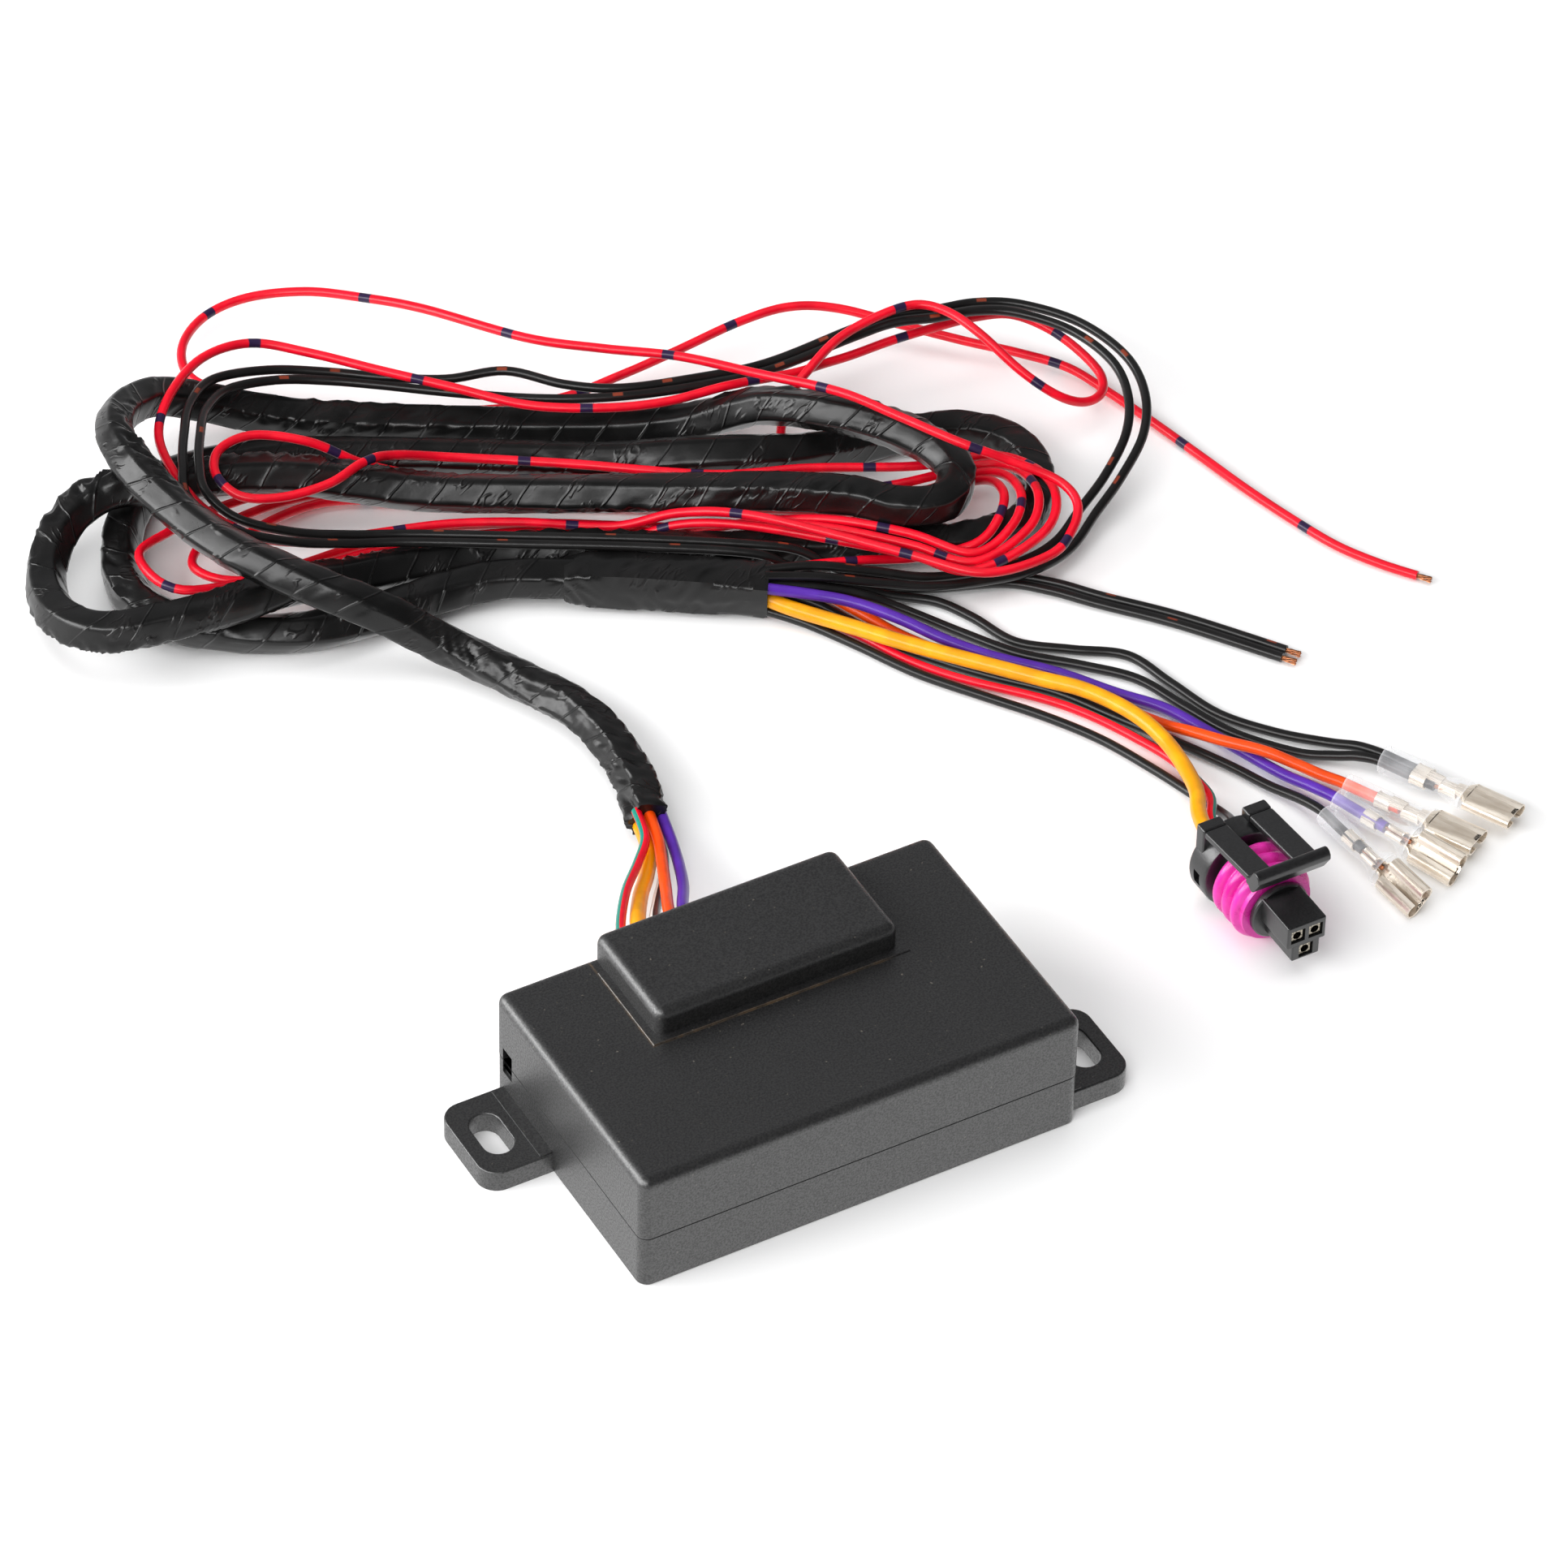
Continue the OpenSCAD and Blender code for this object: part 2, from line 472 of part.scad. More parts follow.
// Black pair: out of the junction, round the right end, over the top and back under
route_black_1 = [[-7, 153.7, 10.1], [4, 155.5, 10], [16, 157.3, 7.2], [28, 158.3, 5], [40, 161, 4.8],
  [49, 165.5, 4.3], [56, 173, 3.6], [61, 182, 4.8], [66.5, 190, 8], [71, 200, 11.5], [71.5, 210, 14],
  [68, 220, 15.5], [59, 229, 16.5], [47, 234, 17], [38, 234, 17.2], [29, 231, 17.4], [20, 229.4, 17],
  [11, 226.3, 15.2], [-8, 216.5, 13], [-25, 210.3, 13], [-42, 206.5, 13], [-58, 206, 12.5],
  [-76, 208.5, 11.5],
  [-92, 210.5, 11.5], [-104, 211, 12], [-115, 209, 13.5], [-125, 202.5, 16], [-129, 192, 19],
  [-129.5, 181, 21.5],
  [-129, 170, 22.5], [-127, 161, 22], [-120, 156, 19], [-108, 156, 15.5], [-96, 159, 12.5],
  [-84, 161.2, 11.2],
  [-60, 161.4, 11.2], [-32, 161.4, 11.2], [-10, 161.3, 10.5], [0, 161.5, 9], [8, 160.5, 5], [16, 160.5, 1.8],
  [28, 161.2, 1.3], [44, 163.6, 1.3], [55, 161.8, 1.3], [66, 157.5, 1.3], [83, 151.5, 1.3],
  [105, 141.5, 1.3]];
route_black_2 = [[-7, 151.2, 10.4], [4, 153, 9], [16, 154.5, 6.5], [28, 155.5, 4.8], [40, 157.8, 4.6],
  [51, 162.2, 4.3], [59, 170.5, 3.6], [64.5, 181, 4.8], [70, 189.5, 8], [74.8, 200, 11.5], [75.2, 211, 14],
  [71, 222, 15.5], [61, 231.8, 16.5], [48, 237, 17], [38, 237, 17.2], [29, 234, 17.4], [20, 232.3, 17],
  [11, 229.3, 15.2], [-8, 219.3, 13], [-25, 213.2, 13], [-40, 209.6, 13], [-52, 210.5, 13], [-65, 214, 13.5],
  [-78, 212.5, 12], [-92, 213.3, 11.5], [-104, 214, 12], [-117, 212, 13.8], [-128.5, 204.5, 17],
  [-132.6, 193, 19.5],
  [-133, 181, 21.5], [-132.5, 169.5, 22.5], [-130.5, 158.5, 22], [-121, 152.5, 19], [-108, 152.8, 15.5],
  [-96, 156.2, 12.5], [-84, 158.6, 11.2], [-60, 158.8, 11.2], [-32, 158.8, 11.2], [-10, 158.8, 10.2],
  [-2, 158.8, 6.8], [6, 158.2, 3.5], [16, 157.8, 1.4], [28, 158.5, 1.3], [44, 161, 1.3], [54, 159.2, 1.3],
  [65, 155, 1.3], [82, 149, 1.3], [104, 139, 1.3]];

// Wires from the junction to the terminals and the plug
route_twin_1 = concat([[-7, 153.7, 7.8], [4, 154.6, 6.6], [12, 155.6, 4.4], [20, 155.4, 2], [30, 154.5, 1.3],
  [38, 149.5, 1.3], [47, 142, 1.3], [59, 140, 1.3], [71, 138.5, 1.3], [80, 130, 1.3], [90, 120.5, 1.3],
  [102, 115, 1.3], [113, 111.5, 2], [119, 109.5, 3]], in_terminal(0, pair_side));
route_twin_2 = concat([[-7, 151.4, 8.1], [4, 152, 6.8], [14, 152.5, 4.5], [24, 150.8, 1.6], [36, 144.3, 1.3],
  [48, 138.2, 1.3], [61, 135, 1.3], [73, 131, 1.3], [83, 122.5, 1.3], [93, 114.5, 1.3], [106, 108.8, 1.4],
  [114, 107.2, 2.2], [118.5, 106.4, 3]], in_terminal(0, -pair_side));
route_orange = concat([[-7, 155.2, 5.1], [3, 155.1, 3.6], [12, 149.9, 2.8], [22, 143.3, 1.6],
  [32, 137.6, 1.5],
  [42, 133.6, 1.5], [56, 129, 1.5], [68, 122.3, 1.5], [78, 116.6, 1.6], [84, 112.4, 3.4], [91, 108.3, 4.6],
  [99, 105.3, 4.8], [106, 102.8, 3.5], [111, 100.6, 2.7]], in_terminal(1, 0));
route_purple = concat([[-7, 149, 8.8], [3, 149.2, 7.2], [12, 148, 6.3], [22, 144.5, 5], [32, 140.5, 2.8],
  [42, 137, 1.5], [56, 132.2, 1.5], [68, 126.3, 1.5], [78, 122, 1.5], [86, 116, 1.5], [94, 109.2, 1.5],
  [103, 101.3, 2], [108.5, 96.8, 3]], in_terminal(2, 0));
route_wire_black = concat([[-7, 152.7, 5.2], [3, 151.5, 3], [12, 147.1, 1.4], [22, 139.8, 1.3],
  [32, 134.8, 1.3],
  [42, 130.8, 1.3], [56, 126, 1.3], [68, 118.9, 1.3], [80, 111.8, 1.3], [92, 104.2, 1.3], [100, 98, 1.6],
  [106.5, 93, 2.6]], in_terminal(3, 0));
route_yellow = [[-7, 149.8, 5.4], [0, 147, 4.6], [12, 142, 4.6], [24, 136.7, 4.8], [38, 131.6, 4.8],
  [52, 126.6, 4.8], [62, 123, 4.8], [72, 115.7, 5], [79, 105.6, 5.6], [84, 91, 7.5], [84.5, 80, 10],
  [85.9, 73, 11.3], [88.2, 68.4, 11.4]];
route_wire_red = [[-7, 151.5, 2.4], [3, 149.2, 1.4], [13, 143.3, 1.3], [24, 135.5, 1.3], [35, 130, 1.3],
  [52, 124.4, 1.3], [62, 119.6, 1.3], [72, 112.6, 1.3], [80, 104.8, 2], [87, 91.5, 5], [87.3, 81.5, 7.2],
  [88.2, 74, 7.2], [90.3, 69.6, 7.2]];
route_plug_black = [[-7, 149.1, 2.5], [2, 146.4, 1.4], [13, 139.8, 1.3], [26, 131.2, 1.3], [40, 124.5, 1.3],
  [53, 118.5, 1.3], [65, 111.5, 1.3], [76, 102.5, 1.3], [84, 95, 1.4], [90, 87, 3.5], [91.6, 79.5, 8],
  [90.6, 74.2, 11], [92.4, 70.8, 11.4]];

steps = 2;
strand = [1.1, 3.3];
track_loom = smooth(on_floor(route_loom), steps);
track_red = smooth(on_floor(route_red), steps);
track_black_1 = smooth(on_floor(route_black_1), steps);
track_black_2 = smooth(on_floor(route_black_2), steps);
echo(loom_least_gap = run_gap(track_loom, 6, loom_diameter / 2));
echo(red_least_gap = run_gap(track_red, 6, wire_thin / 2));
echo(black_1_least_gap = run_gap(track_black_1, 6, wire_thin / 2));
echo(black_2_least_gap = run_gap(track_black_2, 6, wire_thin / 2));

module pigtail_red() color([0.80, 0.06, 0.08]) tube(smooth(route_pigtail_red, steps), wire_thin / 2, 8);
module pigtail_yellow() color([0.95, 0.66, 0.02])
  tube(smooth(route_pigtail_yellow, steps), wire_heavy / 2, 8);
module pigtail_black() color([0.05, 0.05, 0.05]) tube(smooth(route_pigtail_black, steps), wire_mid / 2, 8);
module pigtail_orange() color([0.90, 0.28, 0.02]) tube(smooth(route_pigtail_orange, steps), wire_wide / 2, 8);
module pigtail_purple() color([0.25, 0.09, 0.50]) tube(smooth(route_pigtail_purple, steps), wire_wide / 2, 8);
module loom() color([0.03, 0.03, 0.03]) tube(track_loom, loom_diameter / 2, 6);
module joint_tape() color([0.04, 0.04, 0.04]) tube(smooth(on_floor(route_joint), 1), joint_diameter / 2, 12);
module red_lead() color([0.78, 0.03, 0.08]) tube(track_red, wire_thin / 2, 6);
module black_lead_1() color([0.04, 0.04, 0.04]) tube(track_black_1, wire_thin / 2, 6);
module black_lead_2() color([0.04, 0.04, 0.04]) tube(track_black_2, wire_thin / 2, 6);
module wire_twin_1() color([0.04, 0.04, 0.04]) tube(smooth(on_floor(route_twin_1), steps), wire_mid / 2, 8);
module wire_twin_2() color([0.04, 0.04, 0.04]) tube(smooth(on_floor(route_twin_2), steps), wire_mid / 2, 8);
module wire_orange() color([0.90, 0.28, 0.02]) tube(smooth(on_floor(route_orange), steps), wire_wide / 2, 8);
module wire_purple() color([0.25, 0.09, 0.50]) tube(smooth(on_floor(route_purple), steps), wire_wide / 2, 8);
module wire_black() color([0.04, 0.04, 0.04])
  tube(smooth(on_floor(route_wire_black), steps), wire_mid / 2, 8);
module wire_yellow() color([0.95, 0.66, 0.02]) tube(smooth(on_floor(route_yellow), steps), wire_heavy / 2, 8);
module wire_red() color([0.80, 0.06, 0.08]) tube(smooth(on_floor(route_wire_red), steps), wire_thin / 2, 8);
module wire_plug_black() color([0.04, 0.04, 0.04])
  tube(smooth(on_floor(route_plug_black), steps), wire_thin / 2, 8);

// Bare copper strands past the cut ends of the red lead and the black pair
module strand_end(S) {
  v = heading(S, len(S) - 1);
  translate(S[len(S) - 1]) rotate([0, 90, atan2(v[1], v[0])])
    cylinder(d = strand[0], h = strand[1], $fn = 16);
}

module lead_strands() color([0.72, 0.40, 0.20])
  for (S = [track_red, track_black_1, track_black_2]) strand_end(S);

// Three-way plug: local z runs forward to the nose, local y is up
module plug_place() translate(plug_at) rotate([90, 0, 0]) children();

module latch_arms(low, high, rear, front) for (x = [arm_inner, -latch_width / 2])
  translate([x, low, rear]) cube([latch_width / 2 - arm_inner, high - low, front - rear]);

module plug_housing() color([0.06, 0.06, 0.07]) plug_place() difference() {
  union() {
    cylinder(r = plug_r, h = flange_length, $fn = 64);
    cylinder(r = core_r, h = nose_at, $fn = 48);
    translate([0, 0, collar_at]) cylinder(r = collar_r, h = collar_length, $fn = 48);
    for (n = [nose_upper, nose_lower])
      translate([-n[0] / 2, n[2], nose_at]) cube([n[0], n[1], plug_length - nose_at]);
    latch_arms(root_low, arm_low + latch_thickness, 0, root_length);
  }
  for (p = cavity_at) translate([p[0] - cavity / 2, p[1] - cavity / 2, plug_length - cavity_length])
    cube([cavity, cavity, cavity_length + 1]);
  for (p = wire_hole_at) translate([p[0], p[1], -1]) cylinder(r = wire_hole, h = wire_hole_length + 1);
}

module plug_seal() color([0.80, 0.10, 0.55]) plug_place() rotate_extrude($fn = 64) {
  rib_r = seal_diameter / 2;
  end = seal_at + 3 * rib_pitch + seal_tail;
  ribs = [for (i = [0 : 2]) let (z = seal_at + i * rib_pitch) each
    [[seal_groove_r, z], [rib_r, z + rib_form[0]], [rib_r, z + rib_form[1]],
  [seal_groove_r, z + rib_form[2]]]];
  polygon(concat([[core_r, seal_at]], ribs, [[seal_groove_r, end], [core_r, end]]));
}

module plug_latch() color([0.06, 0.06, 0.07]) plug_place()
  translate([0, arm_low + latch_thickness, root_length]) rotate([-latch_rise, 0, 0]) {
    latch_arms(-latch_thickness, 0, 0, arm_length);
    translate([-latch_width / 2 - bar_overhang, 0, arm_length]) rotate([90, 0, 90])
      linear_extrude(height = latch_width + 2 * bar_overhang)
        polygon([for (p = bar_profile) [p[1], p[0]]]);
  }

module plug_contacts() color([0.80, 0.74, 0.62]) plug_place() for (p = cavity_at)
  translate([p[0] - contact_size / 2, p[1] - cavity / 2, plug_length - cavity_length]) difference() {
    cube([contact_size, contact_size, cavity_length - contact_recess]);
    translate([contact_size / 2, contact_size / 2, 1])
      cylinder(d = contact_size - 2 * contact_wall, h = cavity_length, $fn = 24);
  }

module plug_wire_seals() color([0.45, 0.16, 0.12]) plug_place() for (p = wire_hole_at)
  translate([p[0], p[1], 0]) {
    translate([0, 0, -lip[0]]) cylinder(r = wire_hole + lip[1], h = lip[0]);
    translate([0, 0, -lip[0]])
      cylinder(r = wire_hole - plug_clearance, h = wire_hole_length - plug_seal_end + lip[0]);
  }

// Push-on terminals: local x runs forward, origin at the rear of the sleeve
module terminal_place(i) translate(lay_at(terminal_at[i])) rotate([0, 0, terminal_turn[i] - lay])
  rotate([terminal_roll[i], 0, 0]) children();

module along(at, r, h) translate([at, 0, 0]) rotate([0, 90, 0]) cylinder(r = r, h = h);

// Cross-section of one rolled side, from the flat strip out, up and over to the slot
function curl_arc(trim) = let (h = curl_height / 2) [for (a = [-90 : 12 : curl_end])
  [curl_mid + (curl_side - trim) * cos(a), strip_low + h + (h - trim) * sin(a)]];

module curl_section() {
  outer = curl_arc(0);
  inner = curl_arc(strip);
  polygon(concat(outer, [for (i = [len(inner) - 1 : -1 : 0]) inner[i]]));
}

module crimp_band(wires, r) difference() {
  for (y = wires) translate([0, y, 0]) along(crimp_at, r + strip, crimp_length);
  for (y = wires) translate([0, y, 0]) along(crimp_at - 1, r, crimp_length + 2);
}

module terminal(wires, r) color([0.72, 0.70, 0.66]) {
  crimp_band(wires, r);
  along(barrel_at, barrel_r, barrel_length);
  translate([crimp_at, -neck_width / 2, strip_low]) cube([receptacle_at + 1 - crimp_at, neck_width, strip]);
  difference() {
    translate([receptacle_at, -curl_mid, strip_low]) cube([receptacle_length, 2 * curl_mid, strip]);
    translate([receptacle_at + receptacle_length - tab_notch[0], -tab_notch[1] / 2, strip_low - 1])
      cube([tab_notch[0] + 1, tab_notch[1], strip + 2]);
  }
  for (m = [0, 1]) mirror([0, m, 0]) translate([receptacle_at, 0, 0]) rotate([90, 0, 90])
    linear_extrude(height = receptacle_length) curl_section();
}

// Clear sleeve: a thin tube that widens to an oval at the receptacle, as rings of points out and back
function oval(x, a, b, n) = [for (k = [0 : n - 1]) [x, a * cos(360 * k / n), b * sin(360 * k / n)]];

module sleeve(bore) color([0.85, 0.87, 0.90, 0.4]) {
  n = 28;
  outer = bore + sleeve_wall;
  rings = [oval(0, outer, outer, n), oval(flare_at, outer, outer, n),
    oval(sleeve_length, flare[0] + sleeve_wall, flare[1] + sleeve_wall, n),
    oval(sleeve_length, flare[0], flare[1], n), oval(flare_at, bore, bore, n), oval(0, bore, bore, n)];
  m = len(rings);
  faces = [for (i = [0 : m - 1], k = [0 : n - 1])
    let (a = i * n + k, b = i * n + (k + 1) % n, j = (i + 1) % m, c = j * n + k, d = j * n + (k + 1) % n)
      each [[a, c, b], [b, c, d]]];
  polyhedron(points = [for (r = rings) each r], faces = faces, convexity = 6);
}

module terminal_1() terminal_place(0) terminal([-pair_side, pair_side], wire_mid / 2);
module terminal_2() terminal_place(1) terminal([0], wire_wide / 2);
module terminal_3() terminal_place(2) terminal([0], wire_wide / 2);
module terminal_4() terminal_place(3) terminal([0], wire_mid / 2);
module sleeve_1() terminal_place(0) sleeve(sleeve_bore_double);
module sleeve_2() terminal_place(1) sleeve(sleeve_bore);
module sleeve_3() terminal_place(2) sleeve(sleeve_bore);
module sleeve_4() terminal_place(3) sleeve(sleeve_bore);

base_tray();
top_cover();
circuit_board();
power_transistors();
storage_capacitors();
control_chip();
motion_sensor();
current_shunt();
heat_spreader();
terminal_block();
wire_grommet();
pigtail_red();
pigtail_yellow();
pigtail_black();
pigtail_orange();
pigtail_purple();
loom();
joint_tape();
red_lead();
black_lead_1();
black_lead_2();
lead_strands();
wire_twin_1();
wire_twin_2();
wire_orange();
wire_purple();
wire_black();
wire_yellow();
wire_red();
wire_plug_black();
plug_housing();
plug_seal();
plug_latch();
plug_contacts();
plug_wire_seals();
terminal_1();
terminal_2();
terminal_3();
terminal_4();
sleeve_1();
sleeve_2();
sleeve_3();
sleeve_4();
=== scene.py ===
import math

import bmesh
import bpy
from mathutils import Matrix, Vector, noise


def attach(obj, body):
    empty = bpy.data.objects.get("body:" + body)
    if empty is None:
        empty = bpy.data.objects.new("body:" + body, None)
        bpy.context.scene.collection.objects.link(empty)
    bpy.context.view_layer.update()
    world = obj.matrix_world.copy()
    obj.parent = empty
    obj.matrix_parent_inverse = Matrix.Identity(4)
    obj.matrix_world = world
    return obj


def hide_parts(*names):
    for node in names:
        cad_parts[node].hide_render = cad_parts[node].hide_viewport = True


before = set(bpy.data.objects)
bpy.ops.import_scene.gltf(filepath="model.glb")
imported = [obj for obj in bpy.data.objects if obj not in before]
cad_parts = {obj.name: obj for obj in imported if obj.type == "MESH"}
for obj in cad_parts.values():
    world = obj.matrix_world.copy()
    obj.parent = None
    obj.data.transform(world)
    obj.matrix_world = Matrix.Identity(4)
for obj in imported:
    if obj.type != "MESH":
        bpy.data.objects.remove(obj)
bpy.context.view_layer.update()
mm = 0.001

# Studio: a white table under a wide soft lamp, which leaves no shine, as through a polarising
# screen. Two long soft boxes on the left, one low behind and one in front, draw the streaks on
# tape, wire and tin. The room is paler behind the table, so that rolled front edges stay dark.


class Tone:
    """One socket of a node tree. Sums and products of tones add Math nodes."""

    def __init__(self, tree, socket=None):
        self.tree = tree
        self.socket = socket

    def feed(self, made, sockets):
        """Sets or links the named sockets of a node."""
        for key, value in sockets.items():
            if isinstance(value, Tone):
                self.tree.links.new(value.socket, made.inputs[key])
            else:
                made.inputs[key].default_value = value

    def node(self, kind, settings, sockets, output=0):
        """A new node with its settings and sockets, as the tone of one of its outputs."""
        made = self.tree.nodes.new("ShaderNode" + kind)
        for key, value in settings.items():
            setattr(made, key, value)
        self.feed(made, sockets)
        return Tone(self.tree, made.outputs[output])

    def math(self, operation, first, second=0.0, third=0.0):
        return self.node("Math", {"operation": operation}, {0: first, 1: second, 2: third})

    def __add__(self, other):
        return self.math("ADD", self, other)

    __radd__ = __add__

    def __mul__(self, other):
        return self.math("MULTIPLY", self, other)

    __rmul__ = __mul__

    def __sub__(self, other):
        return self.math("SUBTRACT", self, other)

    def __rsub__(self, other):
        return self.math("SUBTRACT", other, self)

    def __truediv__(self, other):
        return self.math("DIVIDE", self, other)

    def __abs__(self):
        return self.math("ABSOLUTE", self)

    def wrapped(self):
        """The part after the whole number, for what repeats."""
        return self.math("FRACT", self)

    def step(self, low, high):
        """A soft step from 0 at low to 1 at high."""
        ends = {"From Min": low, "From Max": high, "Value": self}
        return self.node("MapRange", {"interpolation_type": "SMOOTHSTEP"}, ends)

    def mix(self, first, second):
        """The first colour where this tone is 0, the second where it is 1."""
        return self.node("Mix", {"data_type": "RGBA"}, {0: self, 6: first, 7: second}, 2)

    def axes(self):
        """The three parts of a vector tone."""
        return [self.node("SeparateXYZ", {}, {0: self}, side) for side in range(3)]


def seen(red, green, blue):
    """A colour as read off the object in 8-bit steps, as a linear colour."""
    return (*[((c / 255 + 0.055) / 1.055) ** 2.4 if c > 10 else c / 3295 for c in (red, green, blue)], 1)


scene = bpy.context.scene
scene.view_settings.view_transform = "Standard"
front_light = (0.09, 0.09, 0.092, 1)
back_light = (0.25, 0.25, 0.255, 1)
world = bpy.data.worlds.new("studio")
world.use_nodes = True
scene.world = world
sky = Tone(world.node_tree)
away = sky.node("TexCoord", {}, {}, "Generated").axes()[1]
sky.feed(world.node_tree.nodes["Background"], {"Color": away.step(0.05, 0.6).mix(front_light, back_light)})
lamp_aim = Vector((0.05, 0.1, 0))


def soft_box(name, place, size, watts):
    """A rectangular lamp that looks at the middle of the object."""
    lamp_data = bpy.data.lights.new(name, "AREA")
    lamp_data.shape = "RECTANGLE"
    lamp_data.size, lamp_data.size_y = size
    lamp_data.energy = watts
    lamp = bpy.data.objects.new(name, lamp_data)
    lamp.location = place
    lamp.rotation_euler = (lamp_aim - lamp.location).to_track_quat("-Z", "Y").to_euler()
    scene.collection.objects.link(lamp)
    return lamp


soft_box("overhead_lamp", (0.05, 0.12, 1.5), (1.7, 1.7), 18).visible_glossy = False
soft_box("streak_lamp", (-1.30, 0.72, 0.58), (1.4, 0.75), 25)
soft_box("side_lamp", (-1.05, -0.45, 0.96), (1.5, 0.6), 18)

floor_half = 6
floor_drop = 0.05 * mm
bm = bmesh.new()
table_top = Matrix.Translation((0, 0, -floor_drop))
bmesh.ops.create_grid(bm, x_segments=1, y_segments=1, size=floor_half, matrix=table_top)
floor_mesh = bpy.data.meshes.new("table")
bm.to_mesh(floor_mesh)
bm.free()
floor = bpy.data.objects.new("table", floor_mesh)
scene.collection.objects.link(floor)
table_white = bpy.data.materials.new("table_white")
table_white.use_nodes = True
table = Tone(table_white.node_tree)
matt = table_white.node_tree.nodes["Principled BSDF"]
table.feed(matt, {"Base Color": (0.95, 0.95, 0.95, 1), "Roughness": 0.8, "Specular IOR Level": 0.1})
glow = table.node("Emission", {}, {"Color": (1, 1, 1, 1), "Strength": 1.0})
in_shine = table.node("LightPath", {}, {}, "Is Glossy Ray") * 0.9
both = table.node("MixShader", {}, {0: in_shine, 1: Tone(table_white.node_tree, matt.outputs[0]), 2: glow})
table.feed(table_white.node_tree.nodes["Material Output"], {"Surface": both})
floor_mesh.materials.append(table_white)

# Camera: a long lens from above the front left corner. Its place and turn are fitted to the
# case's straight edges in the photograph, which is square.
picture_side = 1932
focal_pixels = 10592
yaw, pitch, roll = math.radians(30.1), math.radians(42.44), math.radians(1.42)
eye = Vector((-622.1, -1069.1, 1219.5)) * mm
ahead = Vector((math.sin(yaw) * math.cos(pitch), math.cos(yaw) * math.cos(pitch), -math.sin(pitch)))
level = Vector((math.cos(yaw), -math.sin(yaw), 0))
upright = level.cross(ahead)
right = math.cos(roll) * level + math.sin(roll) * upright
above = math.cos(roll) * upright - math.sin(roll) * level
lens = bpy.data.cameras.new("lens")
lens.sensor_width = 36
lens.lens = lens.sensor_width * focal_pixels / picture_side
camera = bpy.data.objects.new("camera", lens)
camera.matrix_world = Matrix.Translation(eye) @ Matrix((right, above, -ahead)).transposed().to_4x4()
scene.collection.objects.link(camera)
scene.camera = camera

# Lower half of the case: a moulded tray of black plastic with a fine spark-eroded grain,
# with two slotted fixing ears on opposite corners. A window in its left wall takes a snap.
case_length, case_depth = 100 * mm, 62 * mm
case_top, split = 28.6 * mm, 12.8 * mm
half_l, half_d = case_length / 2, case_depth / 2
corner_radius = 2.5 * mm
seam_chamfer = 0.13 * mm
snap_y, snap_width = half_d - 7.2 * mm, 3.8 * mm
snap_low, snap_tab, snap_high = 9.5 * mm, 11.1 * mm, 16 * mm
tab_depth, window_depth = 0.6 * mm, 2.2 * mm
foot_radius = 0.3 * mm


def new_finish(name, sockets):
    """A material with the sockets that stay the same all over, its shader node and a first tone."""
    finish = bpy.data.materials.new(name)
    finish.use_nodes = True
    skin = finish.node_tree.nodes["Principled BSDF"]
    tone = Tone(finish.node_tree)
    tone.feed(skin, sockets)
    return finish, skin, tone


def grain(tone, size, detail=2.0):
    """Fine noise of about this size, in metres, on the piece's own coordinates."""
    where = tone.node("TexCoord", {}, {}, "Object")
    return tone.node("TexNoise", {}, {"Vector": where, "Scale": 1 / size, "Detail": detail}, "Fac")


def bumped(tone, height, depth):
    """A normal from a height tone, where 1 stands this far proud, in metres."""
    return tone.node("Bump", {}, {"Strength": 1.0, "Distance": depth, "Height": height})


def case_finish(name, dust=None):
    """Grained black moulding, dull and darkened with painted shade in the joint line, with dust where the
    given rule asks for it.
    """
    finish, skin, tone = new_finish(name, {"IOR": 1.82, "Coat Roughness": 0.4})
    speckle = grain(tone, 0.42 * mm, 3)
    clouds = grain(tone, 16 * mm, 3)
    base = (speckle.step(0.35, 0.75) * 0.65 + clouds * 0.35).mix(seen(11, 11, 12), seen(27, 27, 27))
    specks = 0.5 * grain(tone, 0.8 * mm, 1).step(0.74, 0.8)
    base = specks.mix(base, seen(112, 106, 96))
    if dust:
        drifts = 0.12 + 0.4 * grain(tone, 2.5 * mm, 3).step(0.35, 0.7)
        base = (dust(tone) * drifts).mix(base, seen(96, 76, 52))
    height = tone.node("TexCoord", {}, {}, "Object").axes()[2]
    # Painted shade: the joint line between the halves is made near black in its colour, as if shade fell into
    # the gap, and duller.
    joint = 1 - abs(height - split).step(0.1 * mm, 0.2 * mm)
    tone.feed(skin, {"Base Color": joint.mix(base, seen(6, 6, 6)),
                     "Roughness": 0.36 + 0.12 * speckle + 0.06 * clouds + 0.6 * joint,
                     "Coat Weight": speckle.step(0.3, 0.65) * (1 - joint),
                     "Normal": bumped(tone, speckle, 0.05 * mm)})
    return finish


def block(bm, low, high):
    """A box between two corners, added to a mesh; gives its vertices."""
    low, high = Vector(low), Vector(high)
    size = Matrix.Diagonal((*(high - low), 1))
    return bmesh.ops.create_cube(bm, size=1, matrix=Matrix.Translation((low + high) / 2) @ size)["verts"]


def edges_of(verts):
    return list({e for v in verts for e in v.link_edges})


def round_edges(bm, edges, radius, segments):
    bmesh.ops.bevel(bm, geom=list(edges), offset=radius, offset_type="OFFSET", affect="EDGES",
                    segments=segments, profile=0.5, material=-1)


def cut(bm, place, normal):
    """Scores every face along a plane."""
    bmesh.ops.bisect_plane(bm, geom=bm.verts[:] + bm.edges[:] + bm.faces[:], dist=1e-7,
                           plane_co=place, plane_no=normal)


def is_upright(edge):
    a, b = edge.verts
    return abs(a.co.z - b.co.z) > 0.9 * edge.calc_length()


def is_at(edge, z):
    return all(abs(v.co.z - z) < 1e-6 for v in edge.verts)


def rim_at(bm, z):
    """The sharp edges that run round a piece at one height."""
    return [e for e in bm.edges if is_at(e, z) and e.calc_face_angle(0) > 1]


